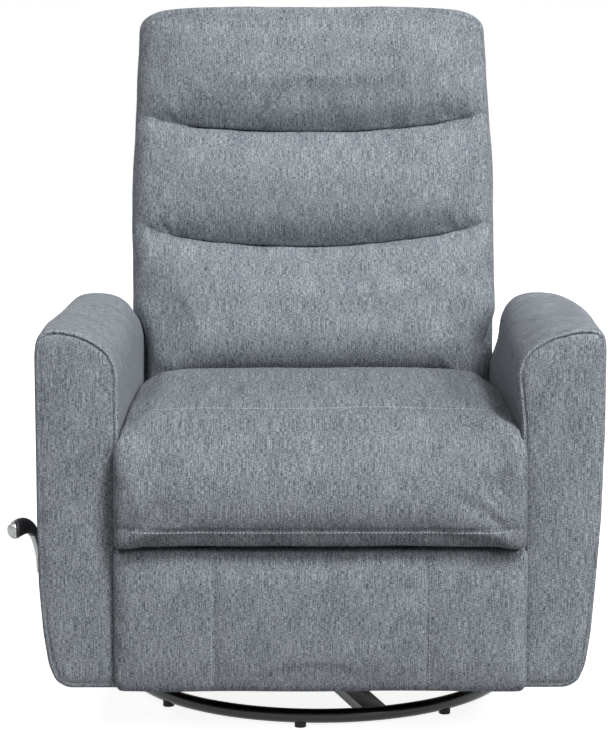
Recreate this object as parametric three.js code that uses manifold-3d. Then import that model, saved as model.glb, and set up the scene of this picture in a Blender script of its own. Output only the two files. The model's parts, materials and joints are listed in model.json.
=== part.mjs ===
// A swivel glider recliner: an upholstered chair on a ring base that it turns on. It glides on four
// swing links, a lever on its side throws out its footrest, and its back reclines.
// Millimetres. Seen from the front, +X is to the right, +Y goes to the rear and +Z is up.
// The origin is where the swivel axis meets the floor. "left" and "right" are as seen from the front.
import * as THREE from "three";
import { mergeVertices } from "three/addons/utils/BufferGeometryUtils.js";
import Module from "manifold-3d";

const wasm = await Module();
wasm.setup();

// Driving dimensions of the whole chair
const seatHalfWidth = 294; // the frame, the back, the arms and the footrest follow it
const armWidth = 122;
const backTopHeight = 1088;
const gap = 0.3; // left between pieces that touch
const overrun = 6; // how far a cut runs past what it cuts
const weldDistance = 0.001;

// Ring base
const ringOuterRadius = 320;
const ringTubeRadius = 11;
const ringSegments = 56;
const ringSides = 8;
const padHeight = 6; // floor to the underside of the ring
const padRadius = 9;
const padSaddle = 5; // how far a pad climbs the ring's tube
const padCount = 8;
const padTurn = -5.5; // degrees from the front to the first pad
const spokeWidth = 38;
const spokeThickness = 16;
const spokeTurn = 16.5; // degrees from the front to the first spoke
const hubRadius = 70;
const hubDrop = 3; // how far the hub reaches below the spokes

// Swivel bearing
const bearingRadius = 112;
const bearingPlateThickness = 3.7;
const raceOuterRadius = 100;
const raceInnerRadius = 84;
const raceHeight = 7.4;
const kingBoltRadius = 8;
const kingBoltHeadRadius = 16;
const kingBoltHeadHeight = 7;
const kingBoltBite = 13; // how deep the bolt enters the hub
const boltClearance = 1;

// Glider: brackets on the swivel plate, four swing links, and the carriage that hangs on them
const swivelPlateHalfWidth = 168;
const swivelPlateHalfLength = 145;
const swivelPlateThickness = 4;
const gliderPlateThickness = 4;
const gliderPlateGap = 2.5; // between the plates that swing past each other
const bracketInnerX = 148;
const bracketFlangeWidth = 24;
const bracketHalfLength = 130;
const bracketSillHeight = 30;
const uprightHalfWidth = 16;
const linkSpread = 110; // from the middle of the chair to a swing link
const linkTopHeight = 190;
const linkLength = 120; // between its two pivots
const swingLinkWidth = 26;
const railTopHeight = 122;
const railWebHeight = 30;
const railEarHalfWidth = 17;
const crossTubeSide = 25;
const crossTubeWall = 2;
const crossTubeY = 185; // from the middle of the chair to the middle of a cross tube

// Rivets and pins
const pinRadius = 4;
const pinHeadRadius = 7.5;
const pinHeadHeight = 2;
const pinSides = 12;
const pinClearance = 0.5;

// Side plates of the mechanism. They carry the seat, the footrest linkage and the hinges of the back.
const sidePlateInset = 36; // its inner face, inside the seat cushion's side
const sidePlateInnerX = seatHalfWidth - sidePlateInset;
const sidePlateThickness = 3.5;
const sidePlateFrontY = -326;
const sidePlateRearY = 200;
const sidePlateBottom = 100;
const sidePlateTop = 345;
const sidePlateFlange = 26;
const sidePlateNeckHeight = 205; // the front of the plate is cut up to here
const sidePlateNeckY = -205;
const sidePlateTailHeight = 225; // its rear edge is this high, and slopes up to the hinge from there
const sidePlateEarY = 92; // where the flange ends and the ear of the hinge begins
const sidePlateEarRadius = 12;

// Footrest linkage, in a side view with "forward" measured from the swivel axis and the footrest closed.
// Angles are in degrees, counted from straight forward towards straight up.
const shaftForward = 262;
const shaftHeight = 247.9;
const crankLength = 132.6;
const crankAngle = -104.8;
const liftPivotForward = 300.4;
const liftPivotHeight = 305.2;
const liftLength = 139.4; // from its fixed pivot to where it crosses the cross link
const liftTipLength = 62.9;
const liftAngle = -107.5;
const crossLength = 166;
const crossTailLength = 60.5;
const crossAngle = 52;
const crossTailAngle = 239.9;
const linkPlateThickness = 3.5;
const linkPlateGap = 2.5;
const linkPlateWidth = 19;
const shaftSide = 12; // the square torque shaft
const shaftHole = 9.5; // radius of the hole that the square shaft turns in

// Footrest panel
const boardThickness = 12;
const boardRearForward = 386;
const boardInset = 22; // its ends, inside the seat cushion's sides
const boardHalfWidth = seatHalfWidth - boardInset;
const boardBottom = 96;
const boardTop = 303;
const footOverhang = 10; // past the seat cushion's sides
const footHalfWidth = seatHalfWidth + footOverhang;
const footFrontForward = 444;
const footCrown = 7;
const footBottom = 88;
const footTop = 308;
const footEdgeRadius = 14;
const footSideRadius = 11;
const armFrontClearance = 2.5; // between the arms' front faces and the footrest's wide front
const footLugThickness = 3.5;
const footLugFlange = 22;
const footLugMargin = 11; // plate left round a lug's pivots

// Seat
const seatFrontForward = 450;
const seatTop = 492;
const seatCrown = 8;
const seatLipBottom = 314;
const seatBase = 403;
const seatFrontRadius = 62;
const seatLipRadius = 26;
const seatSideRadius = 34;
const seatRearGap = 5; // to the fullest part of the back's padding
const seatTimberThickness = 22;
const seatTimberHeight = 54;
const seatFrontRailForward = 398; // front face of the front rail
const seatRearRailY = 82; // rear face of the rear rail
const seatSideRailInset = 30; // its inner face, inside the cushion's side
const seatSideRailInnerX = seatHalfWidth - seatSideRailInset;
const springWireRadius = 2;
const springHalfWidth = 24;
const springBends = 11;
const springStepsPerPoint = 1.3;
const springSpacing = 116;
const springCount = 4;

// Back, built upright round its hinge and then leaned. "Rise" is measured from the hinge along the back.
const backLean = 20; // degrees
const hingeY = 115;
const hingeHeight = 366;
const backFrontDepth = 33; // the padding's front face is this far in front of the hinge
const backDepth = 160; // front face to rear face at the bottom
const backTopDepth = 140; // the same at the top
const backBottomRise = 20;
const backLowInset = 3; // inside the seat cushion's sides, between the arms
const backHighOverhang = 14; // past them, over the arms
const backTopOverhang = 5;
const backLowHalfWidth = seatHalfWidth - backLowInset;
const backHighHalfWidth = seatHalfWidth + backHighOverhang;
const backTopHalfWidth = seatHalfWidth + backTopOverhang;
const backWideningRise = 200; // up to here the back fits between the arms
const backWideningLength = 26;
const backNarrowingRise = 480; // from here it narrows towards its top
const backEdgeRadius = 34;
const backRearEdgeRadius = 18;
const backCornerRadius = 46;
const backCrown = 15;
const tuckDepth = 24;
const lowTuckRise = 356; // at the back's sides
const lowTuckSag = 25; // how much lower the tuck is in the middle
const highTuckRise = 554;
const highTuckSag = 16;
const backTimberThickness = 24;
const backTimberWidth = 52;
const backStileDepth = 76;
const backFrameHalfWidth = seatSideRailInnerX - gap;
const backFrameFront = 14; // the frame's front face, behind the hinge
const backFrameRise = 30;
const backTopPadding = 50; // padding above the frame
const backStrapThickness = 3.5;
const backStrapWidth = 30;
const backStrapRise = 190;
const backPanelThickness = 5;

// Arms
const armSeatClearance = 3;
const armInnerX = seatHalfWidth + armSeatClearance;
const armFrontY = -415;
const armRearY = 232;
const armBottom = 94;
const armHeight = 633;
const armRearHeight = 582;
const armSlopeY = 20; // the arm's top slopes down to the rear from here
const armShoulder = 62; // height of the rounded top
const armFrontRadius = 14;
const armRearRadius = 20;
const armBoardThickness = 18;
const armBoardHeight = 374;
const armBoardInset = 16; // behind the arm's front face
const armBoardRearInset = 32;
const armBoardRaise = 10; // above the arm's lower edge
const baseRailHeight = 90;
const baseRailLength = 370;
const baseRailRaise = 12;

// Rear apron
const apronThickness = 11;
const apronHeight = 164;
const apronInset = 20.3; // ahead of the arms' rear ends

// Lever
const leverBaseShare = 0.955; // share of the arm's width at which the base of the lever stands
const leverBaseRadius = 18;
const leverBaseThickness = 22;
const leverReach = 128;
const leverRootWidth = 22; // seen from the side
const leverRootThickness = 8; // seen from the front
const leverTipWidth = 29;
const leverTipThickness = 22;
const leverSides = 16;
const leverStations = 14;
const leverBlunt = 0.12; // how far from a point its ends are
const gripStartShare = 0.5;
const gripEndShare = 0.84;
const gripStations = 5;
const gripThickness = 2.4; // of the sleeve round the bar
const gripProud = 0.5;
const shaftOvershoot = 4; // past the right side plate

const degree = Math.PI / 180;
const mirror = -1;
const half = 0.5;

const fabric = new THREE.MeshStandardMaterial({ color: 0x78838f, roughness: 0.95, metalness: 0 });
const timber = new THREE.MeshStandardMaterial({ color: 0xb08a5a, roughness: 0.75, metalness: 0 });
const blackSteel = new THREE.MeshStandardMaterial({ color: 0x141414, roughness: 0.4, metalness: 0.6 });
const zincSteel = new THREE.MeshStandardMaterial({ color: 0x8f9397, roughness: 0.4, metalness: 0.9 });
const springSteel = new THREE.MeshStandardMaterial({ color: 0x4a4d50, roughness: 0.45, metalness: 0.9 });
const satinChrome = new THREE.MeshStandardMaterial({ color: 0xb9bcbd, roughness: 0.25, metalness: 1 });
const softBlack = new THREE.MeshStandardMaterial({ color: 0x26282a, roughness: 0.6, metalness: 0 });

const chair = new THREE.Group();

// Solids and meshes

function solidOf(geometry) {
  const bare = geometry.index ? geometry.toNonIndexed() : geometry.clone();
  const points = new THREE.BufferGeometry();
  points.setAttribute("position", bare.getAttribute("position"));
  const merged = mergeVertices(points, weldDistance);
  const triVerts = new Uint32Array(merged.index.array);
  const vertProperties = merged.attributes.position.array;
  return new wasm.Manifold(new wasm.Mesh({ numProp: 3, vertProperties, triVerts }));
}

function geometryOf(solid) {
  const made = solid.getMesh();
  const stride = made.numProp;
  const points = new Float32Array(made.numVert * 3);
  for (let i = 0; i < made.numVert; i++) {
    points.set(made.vertProperties.subarray(i * stride, i * stride + 3), i * 3);
  }
  const geometry = new THREE.BufferGeometry();
  geometry.setAttribute("position", new THREE.BufferAttribute(points, 3));
  geometry.setIndex(new THREE.BufferAttribute(new Uint32Array(made.triVerts), 1));
  const flat = geometry.toNonIndexed();
  flat.computeVertexNormals();
  return flat;
}

function join(...geometries) {
  return geometryOf(geometries.map(solidOf).reduce((sum, next) => sum.add(next)));
}

function cut(geometry, ...cutters) {
  return geometryOf(cutters.map(solidOf).reduce((left, next) => left.subtract(next), solidOf(geometry)));
}

function add(name, geometry, material, parent = chair) {
  const mesh = new THREE.Mesh(geometry, material);
  mesh.name = name;
  parent.add(mesh);
  return mesh;
}

// A piece made for the right side, and its mirror image on the left.
function addPair(name, geometry, material, parent = chair) {
  add(name + "_right", geometry, material, parent);
  add(name + "_left", geometry, material, parent).scale.x = mirror;
}

function block(x0, x1, y0, y1, z0, z1) {
  const box = new THREE.BoxGeometry(x1 - x0, y1 - y0, z1 - z0);
  return box.translate((x0 + x1) * half, (y0 + y1) * half, (z0 + z1) * half);
}

function disc(radius, z0, z1, sides = 40) {
  const cylinder = new THREE.CylinderGeometry(radius, radius, z1 - z0, sides);
  return cylinder.rotateX(Math.PI * half).translate(0, 0, (z0 + z1) * half);
}

// A round bar along X, round a point [y, z].
function crossBar(at, radius, x0, x1, sides = pinSides) {
  const cylinder = new THREE.CylinderGeometry(radius, radius, x1 - x0, sides);
  return cylinder.rotateZ(Math.PI * half).translate((x0 + x1) * half, at[0], at[1]);
}

// A plate that stands in a plane of constant X: its outline is a THREE.Shape drawn in Y and Z.
function plate(shape, x0, thickness, curveSegments = 6) {
  const made = new THREE.ExtrudeGeometry(shape, { depth: thickness, bevelEnabled: false, curveSegments });
  const turn = new THREE.Matrix4().makeBasis(
    new THREE.Vector3(0, 1, 0),
    new THREE.Vector3(0, 0, 1),
    new THREE.Vector3(1, 0, 0),
  );
  return made.applyMatrix4(turn).translate(x0, 0, 0);
}

function polygon(points) {
  return new THREE.Shape(points.map(([u, v]) => new THREE.Vector2(u, v)));
}

// A bar with round ends between two points [y, z].
function barOutline(from, to, width) {
  const radius = width * half;
  const angle = Math.atan2(to[1] - from[1], to[0] - from[0]);
  const shape = new THREE.Shape();
  shape.absarc(from[0], from[1], radius, angle + Math.PI * half, angle - Math.PI * half, false);
  shape.absarc(to[0], to[1], radius, angle - Math.PI * half, angle + Math.PI * half, false);
  return shape;
}

// Skins a row of closed rings, and closes its two ends. flatten gives an end ring's outline in its own plane.
function loft(rings, flatten) {
  const count = rings[0].length;
  const points = rings.flat();
  const index = [];
  for (let ring = 0; ring + 1 < rings.length; ring++) {
    for (let i = 0; i < count; i++) {
      const a = ring * count + i;
      const b = ring * count + ((i + 1) % count);
      index.push(a, b, b + count, a, b + count, a + count);
    }
  }
  const last = (rings.length - 1) * count;
  const capOf = (ring) => THREE.ShapeUtils.triangulateShape(ring.map(flatten), []);
  for (const [a, b, c] of capOf(rings[0])) {
    index.push(c, b, a);
  }
  for (const [a, b, c] of capOf(rings[rings.length - 1])) {
    index.push(last + a, last + b, last + c);
  }
  const geometry = new THREE.BufferGeometry().setFromPoints(points);
  geometry.setIndex(index);
  return geometry;
}

const alongX = (p) => new THREE.Vector2(p.y, p.z);
const alongY = (p) => new THREE.Vector2(p.z, p.x);
const alongZ = (p) => new THREE.Vector2(p.x, p.y);

// Points [u, v] of an arc, angles in degrees.
function arc(u, v, radius, from, to, steps) {
  return Array.from({ length: steps + 1 }, (_, i) => {
    const angle = (from + ((to - from) * i) / steps) * degree;
    return [u + radius * Math.cos(angle), v + radius * Math.sin(angle)];
  });
}

// How far a rounded side has drawn in, at a distance from its end.
function drawIn(fromEnd, radius) {
  const into = Math.min(Math.max(fromEnd, 0), radius);
  return radius - Math.sqrt(radius * radius - (radius - into) * (radius - into));
}

// Distances across a piece, closer together where its sides are rounded.
function stationsAcross(halfWidth, radius, plain) {
  const shares = [0, 0.12, 0.35, 0.7, 1];
  const left = shares.map((share) => share * radius - halfWidth);
  const middle = plain.map((share) => share * (halfWidth - radius));
  const right = left.map((x) => -x).reverse();
  return [...left, ...middle, ...right];
}

// Ring base

const ringRadius = ringOuterRadius - ringTubeRadius;
const ringZ = padHeight + ringTubeRadius;
const spokeTop = ringZ + spokeThickness * half;
const spokeBottom = ringZ - spokeThickness * half;
const hubBottom = spokeBottom - hubDrop;

function ringTube(tubeRadius) {
  return new THREE.TorusGeometry(ringRadius, tubeRadius, ringSides, ringSegments).translate(0, 0, ringZ);
}

add("base_ring", ringTube(ringTubeRadius), blackSteel);

function spokes() {
  const bar = (turn) => {
    const x = spokeWidth * half;
    return block(-x, x, -ringRadius, ringRadius, spokeBottom, spokeTop).rotateZ(turn * degree);
  };
  return cut(
    join(bar(spokeTurn), bar(spokeTurn + 90), disc(hubRadius, hubBottom, spokeTop)),
    ringTube(ringTubeRadius + gap),
    disc(kingBoltRadius + gap, spokeTop - kingBoltBite, spokeTop + overrun, pinSides),
  );
}

add("base_cross", spokes(), blackSteel);

function floorPad(turn) {
  const saddleRadius = ringTubeRadius + gap;
  const saddle = new THREE.CylinderGeometry(saddleRadius, saddleRadius, padRadius * 4, ringSides * 2);
  const bar = saddle.rotateZ(Math.PI * half).translate(0, -ringRadius, ringZ);
  const pad = disc(padRadius, 0, padHeight + padSaddle, 16).translate(0, -ringRadius, 0);
  return cut(pad, bar).rotateZ(turn * degree);
}

for (let i = 0; i < padCount; i++) {
  add("floor_pad_" + (i + 1), floorPad(padTurn + (360 * i) / padCount), softBlack);
}

// Swivel bearing: a fixed plate with its raised race, and a turning plate on top

const lowerPlateZ = spokeTop + gap;
const raceZ = lowerPlateZ + bearingPlateThickness;
const raceTop = raceZ + raceHeight;
const upperPlateZ = raceTop + gap;
const swivelPlateZ = upperPlateZ + bearingPlateThickness + gap;
const swivelPlateTop = swivelPlateZ + swivelPlateThickness;
const kingBoltHole = kingBoltRadius + boltClearance;

add(
  "bearing_lower_plate",
  cut(
    disc(raceOuterRadius, lowerPlateZ, raceTop),
    disc(raceInnerRadius, raceZ, raceTop + overrun),
    disc(kingBoltHole, spokeTop, raceZ + overrun, pinSides),
  ),
  zincSteel,
);
add(
  "bearing_upper_plate",
  cut(
    disc(bearingRadius, upperPlateZ, upperPlateZ + bearingPlateThickness),
    disc(kingBoltHole, raceZ, swivelPlateZ, pinSides),
  ),
  zincSteel,
);
add(
  "king_bolt",
  join(
    disc(kingBoltRadius, spokeTop - kingBoltBite + gap, swivelPlateTop + boltClearance, pinSides),
    disc(kingBoltHeadRadius, swivelPlateTop + gap, swivelPlateTop + gap + kingBoltHeadHeight, 6),
  ),
  zincSteel,
);
add(
  "swivel_plate",
  cut(
    block(
      -swivelPlateHalfWidth,
      swivelPlateHalfWidth,
      -swivelPlateHalfLength,
      swivelPlateHalfLength,
      swivelPlateZ,
      swivelPlateTop,
    ),
    disc(kingBoltHole, upperPlateZ, swivelPlateTop + overrun, pinSides),
  ),
  blackSteel,
);

// A pin that belongs to one plate and holds another. It leaves its plate at fromX, passes the other
// plate at toX and ends in a head beyond it. A collar keeps the two plates apart.
function pin(at, fromX, toX, toThickness) {
  const sign = Math.sign(toX - fromX);
  const nearX = sign > 0 ? toX : toX + toThickness;
  const farX = sign > 0 ? toX + toThickness : toX;
  const span = (a, b, radius) => crossBar(at, radius, Math.min(a, b), Math.max(a, b));
  const headX = farX + sign * gap;
  return [
    span(fromX, headX + sign * pinHeadHeight, pinRadius),
    span(headX, headX + sign * pinHeadHeight, pinHeadRadius),
    span(fromX, nearX - sign * gap, pinHeadRadius),
  ];
}

function pinHole(at, x0, x1) {
  return crossBar(at, pinRadius + pinClearance, x0 - overrun, x1 + overrun);
}

// Glider

const bracketZ = swivelPlateTop + gap;
const swingLinkX = bracketInnerX + gliderPlateThickness + gliderPlateGap;
const railX = swingLinkX + gliderPlateThickness + gliderPlateGap;
const linkBottomHeight = linkTopHeight - linkLength;

function gliderBracket() {
  const sill = bracketZ + bracketSillHeight;
  const top = linkTopHeight + uprightHalfWidth;
  const outer = linkSpread + uprightHalfWidth;
  const inner = linkSpread - uprightHalfWidth;
  const outline = polygon([
    [-bracketHalfLength, bracketZ],
    [bracketHalfLength, bracketZ],
    [bracketHalfLength, sill],
    [outer, sill],
    [outer, top],
    [inner, top],
    [inner, sill],
    [-inner, sill],
    [-inner, top],
    [-outer, top],
    [-outer, sill],
    [-bracketHalfLength, sill],
  ]);
  const flangeX = bracketInnerX - bracketFlangeWidth;
  const webX = bracketInnerX + gliderPlateThickness;
  const flangeTop = bracketZ + gliderPlateThickness;
  return cut(
    join(
      plate(outline, bracketInnerX, gliderPlateThickness),
      block(flangeX, webX, -bracketHalfLength, bracketHalfLength, bracketZ, flangeTop),
    ),
    pinHole([linkSpread, linkTopHeight], bracketInnerX, webX),
    pinHole([-linkSpread, linkTopHeight], bracketInnerX, webX),
  );
}

addPair("glider_bracket", gliderBracket(), blackSteel);

// A swing link hangs on the bracket by its upper pin and carries the rail on its lower one.
function swingLink(y) {
  const topAt = [y, linkTopHeight];
  const lowAt = [y, linkBottomHeight];
  const bar = plate(barOutline(topAt, lowAt, swingLinkWidth), swingLinkX, gliderPlateThickness);
  return join(
    bar,
    ...pin(topAt, swingLinkX, bracketInnerX, gliderPlateThickness),
    ...pin(lowAt, swingLinkX + gliderPlateThickness, railX, gliderPlateThickness),
  );
}

addPair("swing_link_front", swingLink(-linkSpread), zincSteel);
addPair("swing_link_rear", swingLink(linkSpread), zincSteel);

const railEnd = crossTubeY - crossTubeSide * half - gap;

function carriageRail() {
  const webBottom = railTopHeight - railWebHeight;
  const earBottom = linkBottomHeight - railEarHalfWidth;
  const outer = linkSpread + railEarHalfWidth;
  const inner = linkSpread - railEarHalfWidth;
  const outline = polygon([
    [-railEnd, webBottom],
    [-outer, webBottom],
    [-outer, earBottom],
    [-inner, earBottom],
    [-inner, webBottom],
    [inner, webBottom],
    [inner, earBottom],
    [outer, earBottom],
    [outer, webBottom],
    [railEnd, webBottom],
    [railEnd, railTopHeight],
    [-railEnd, railTopHeight],
  ]);
  return cut(
    plate(outline, railX, gliderPlateThickness),
    pinHole([linkSpread, linkBottomHeight], railX, railX + gliderPlateThickness),
    pinHole([-linkSpread, linkBottomHeight], railX, railX + gliderPlateThickness),
  );
}

addPair("carriage_rail", carriageRail(), blackSteel);

function crossTube(y) {
  const x = sidePlateInnerX - gap;
  const r = crossTubeSide * half;
  const z0 = railTopHeight - crossTubeSide;
  const bore = r - crossTubeWall;
  const middle = z0 + r;
  return cut(
    block(-x, x, y - r, y + r, z0, railTopHeight),
    block(-x - overrun, x + overrun, y - bore, y + bore, middle - bore, middle + bore),
  );
}

add("cross_tube_front", crossTube(-crossTubeY), blackSteel);
add("cross_tube_rear", crossTube(crossTubeY), blackSteel);

// Footrest linkage: where its pivots lie with the footrest closed, as [y, z]

function reach(from, length, angle) {
  return [from[0] - length * Math.cos(angle * degree), from[1] + length * Math.sin(angle * degree)];
}

const shaftAt = [-shaftForward, shaftHeight];
const liftPivot = [-liftPivotForward, liftPivotHeight];
const scissorPivot = reach(liftPivot, liftLength, liftAngle);
const tipPivot = reach(scissorPivot, liftTipLength, liftAngle);
const footUpperPivot = reach(scissorPivot, crossLength, crossAngle);
const footLowerPivot = reach(footUpperPivot, liftTipLength, liftAngle);
const tailPivot = reach(scissorPivot, crossTailLength, crossTailAngle);
const crankTip = reach(shaftAt, crankLength, crankAngle);

const layerPitch = linkPlateThickness + linkPlateGap;
const crankX = sidePlateInnerX - layerPitch;
const crossLinkX = crankX - layerPitch;
const liftX = crossLinkX - layerPitch;
const outerLinkX = liftX - layerPitch;

const hingeAt = [hingeY, hingeHeight];

function sidePlate() {
  const ear = sidePlateEarRadius;
  const shape = polygon([
    [sidePlateNeckY, sidePlateBottom],
    [sidePlateRearY, sidePlateBottom],
    [sidePlateRearY, sidePlateTailHeight],
    [hingeY + ear, hingeHeight - ear * 2],
    ...arc(hingeY, hingeHeight, ear, 0, 180, 8),
    [sidePlateEarY, sidePlateTop],
    [sidePlateFrontY, sidePlateTop],
    [sidePlateFrontY, sidePlateNeckHeight],
    [sidePlateNeckY, sidePlateNeckHeight],
  ]);
  const web = plate(shape, sidePlateInnerX, sidePlateThickness);
  const flangeX = sidePlateInnerX + sidePlateFlange;
  const flangeZ = sidePlateTop - sidePlateThickness;
  const outerX = sidePlateInnerX + sidePlateThickness;
  return cut(
    join(web, block(sidePlateInnerX, flangeX, sidePlateFrontY, sidePlateEarY, flangeZ, sidePlateTop)),
    crossBar(shaftAt, shaftHole, sidePlateInnerX - overrun, outerX + overrun),
    pinHole(liftPivot, sidePlateInnerX, outerX),
    pinHole(hingeAt, sidePlateInnerX, outerX),
  );
}

addPair("mechanism_side_plate", sidePlate(), blackSteel);

// The crank links are keyed on the torque shaft, and push the tails of the cross links.
const shaftHalf = shaftSide * half;

function crankLink() {
  const bar = plate(barOutline(shaftAt, crankTip, linkPlateWidth), crankX, linkPlateThickness);
  const boss = crossBar(shaftAt, linkPlateWidth * half + pinClearance, crankX, crankX + linkPlateThickness);
  const key = shaftHalf + gap;
  const square = block(
    crankX - overrun,
    crankX + linkPlateThickness + overrun,
    shaftAt[0] - key,
    shaftAt[0] + key,
    shaftAt[1] - key,
    shaftAt[1] + key,
  );
  return cut(join(bar, boss), square);
}

addPair("crank_link", crankLink(), zincSteel);

// The lift links swing on the side plates and carry the scissor.
function liftLink() {
  const bar = plate(barOutline(liftPivot, tipPivot, linkPlateWidth), liftX, linkPlateThickness);
  return join(
    bar,
    ...pin(liftPivot, liftX + linkPlateThickness, sidePlateInnerX, sidePlateThickness),
    ...pin(scissorPivot, liftX + linkPlateThickness, crossLinkX, linkPlateThickness),
    ...pin(tipPivot, liftX, outerLinkX, linkPlateThickness),
  );
}

addPair("lift_link", liftLink(), zincSteel);

function crossLink() {
  const x = crossLinkX;
  const upper = plate(barOutline(scissorPivot, footUpperPivot, linkPlateWidth), x, linkPlateThickness);
  const tail = plate(barOutline(scissorPivot, tailPivot, linkPlateWidth), x, linkPlateThickness);
  const holes = [scissorPivot, footUpperPivot].map((at) => pinHole(at, x, x + linkPlateThickness));
  return cut(join(upper, tail), ...holes);
}

addPair("cross_link", crossLink(), zincSteel);

function outerLink() {
  const bar = plate(barOutline(tipPivot, footLowerPivot, linkPlateWidth), outerLinkX, linkPlateThickness);
  const farX = outerLinkX + linkPlateThickness;
  const holes = [tipPivot, footLowerPivot].map((at) => pinHole(at, outerLinkX, farX));
  return cut(bar, ...holes);
}

addPair("outer_link", outerLink(), zincSteel);

// The lugs join the last two links to the board behind the footrest's padding.
const boardRearY = -boardRearForward;
const boardFrontY = boardRearY - boardThickness;

function footLug() {
  const faceY = boardRearY + gap;
  const m = footLugMargin;
  const outline = polygon([
    [faceY, footLowerPivot[1] - m - m],
    [footLowerPivot[0] + m, footLowerPivot[1] - m],
    [footLowerPivot[0] + m, footLowerPivot[1] + m * half],
    [footUpperPivot[0] + m, footUpperPivot[1] - m * half],
    [footUpperPivot[0] + m * half, footUpperPivot[1] + m],
    [footUpperPivot[0] - m, footUpperPivot[1] + m],
    [faceY, Math.min(footUpperPivot[1], boardTop - m)],
  ]);
  const web = plate(outline.clone(), liftX, footLugThickness);
  const flange = block(
    liftX - footLugFlange,
    liftX + footLugThickness,
    faceY,
    faceY + footLugThickness,
    footLowerPivot[1] - m - m,
    Math.min(footUpperPivot[1], boardTop - m),
  );
  return join(
    web,
    flange,
    ...pin(footUpperPivot, liftX + footLugThickness, crossLinkX, linkPlateThickness),
    ...pin(footLowerPivot, liftX, outerLinkX, linkPlateThickness),
  );
}

addPair("footrest_lug", footLug(), zincSteel);
add(
  "footrest_board",
  block(-boardHalfWidth, boardHalfWidth, boardFrontY, boardRearY, boardBottom, boardTop),
  timber,
);

// The footrest's padding lies on its board. It is widest in front of the arms and fullest in its middle.
function footrestProfile(rear, inset, crown) {
  const front = -footFrontForward + inset;
  const low = footBottom + inset;
  const high = footTop - inset;
  const r = footEdgeRadius;
  const rise = (high - low) * 0.25;
  return [
    [rear, high],
    ...arc(front + r, high - r, r, 90, 180, 4),
    [front - crown * 0.75, high - rise],
    [front - crown, (high + low) * half],
    [front - crown * 0.75, low + rise],
    ...arc(front + r, low + r, r, 180, 270, 4),
    [rear, low],
  ];
}

function footrestCushion() {
  const wideRear = armFrontY - armFrontClearance;
  const narrowRear = boardFrontY - gap;
  const rings = stationsAcross(footHalfWidth, footSideRadius, [-0.5, 0, 0.5]).map((x) => {
    const fromEnd = footHalfWidth - Math.abs(x);
    const share = x / footHalfWidth;
    const rear = fromEnd < footSideRadius ? wideRear : narrowRear;
    const profile = footrestProfile(rear, drawIn(fromEnd, footSideRadius), footCrown * (1 - share * share));
    return profile.map(([y, z]) => new THREE.Vector3(x, y, z));
  });
  return loft(rings, alongX);
}

add("footrest_cushion", footrestCushion(), fabric);

// Seat: a timber box with wire springs across its top, and a cushion that rolls over its front

const seatTimberTop = seatBase - springWireRadius * 2 - gap * 2;
const seatTimberBottom = sidePlateTop + gap;
const frontRailFront = -seatFrontRailForward;
const frontRailRear = frontRailFront + seatTimberThickness;
const rearRailFront = seatRearRailY - seatTimberThickness;
const sideRailOuterX = seatSideRailInnerX + seatTimberThickness;
const seatTimberX = seatSideRailInnerX - gap;
const timberTopZ = Math.min(seatTimberTop, seatTimberBottom + seatTimberHeight);

addPair(
  "seat_side_rail",
  block(seatSideRailInnerX, sideRailOuterX, frontRailFront, seatRearRailY, seatTimberBottom, timberTopZ),
  timber,
);
add(
  "seat_front_rail",
  block(-seatTimberX, seatTimberX, frontRailFront, frontRailRear, seatTimberBottom, timberTopZ),
  timber,
);
add(
  "seat_rear_rail",
  block(-seatTimberX, seatTimberX, rearRailFront, seatRearRailY, seatTimberBottom, timberTopZ),
  timber,
);

// A zigzag spring of one wire, from the top of the front rail to the top of the rear rail.
function seatSpring(x) {
  const z = timberTopZ + springWireRadius + gap;
  const start = frontRailFront + seatTimberThickness * half;
  const end = seatRearRailY - seatTimberThickness * half;
  const step = (end - start) / (springBends + 1);
  const points = [new THREE.Vector3(x, start, z)];
  for (let i = 1; i <= springBends; i++) {
    const side = i % 2 ? 1 : -1;
    const y = start + step * i;
    points.push(new THREE.Vector3(x + side * springHalfWidth * 0.8, y - step * 0.3, z));
    points.push(new THREE.Vector3(x + side * springHalfWidth, y, z));
    points.push(new THREE.Vector3(x + side * springHalfWidth * 0.8, y + step * 0.3, z));
  }
  points.push(new THREE.Vector3(x, end, z));
  const section = new THREE.Shape();
  section.absarc(0, 0, springWireRadius, 0, Math.PI * 2);
  return new THREE.ExtrudeGeometry(section, {
    steps: Math.round(points.length * springStepsPerPoint),
    curveSegments: 3,
    extrudePath: new THREE.CatmullRomCurve3(points, false, "centripetal"),
  });
}

for (let i = 0; i < springCount; i++) {
  const x = (i - (springCount - 1) * half) * springSpacing;
  add("seat_spring_" + (i + 1), seatSpring(x), springSteel);
}

// The seat cushion's side view. The rear slants with the back, and the front rolls down to a lip.
const leanSin = Math.sin(backLean * degree);
const leanCos = Math.cos(backLean * degree);

function backFaceY(z) {
  const rise = (z - hingeHeight - backFrontDepth * leanSin) / leanCos;
  return hingeY + rise * leanSin - backFrontDepth * leanCos;
}

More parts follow.
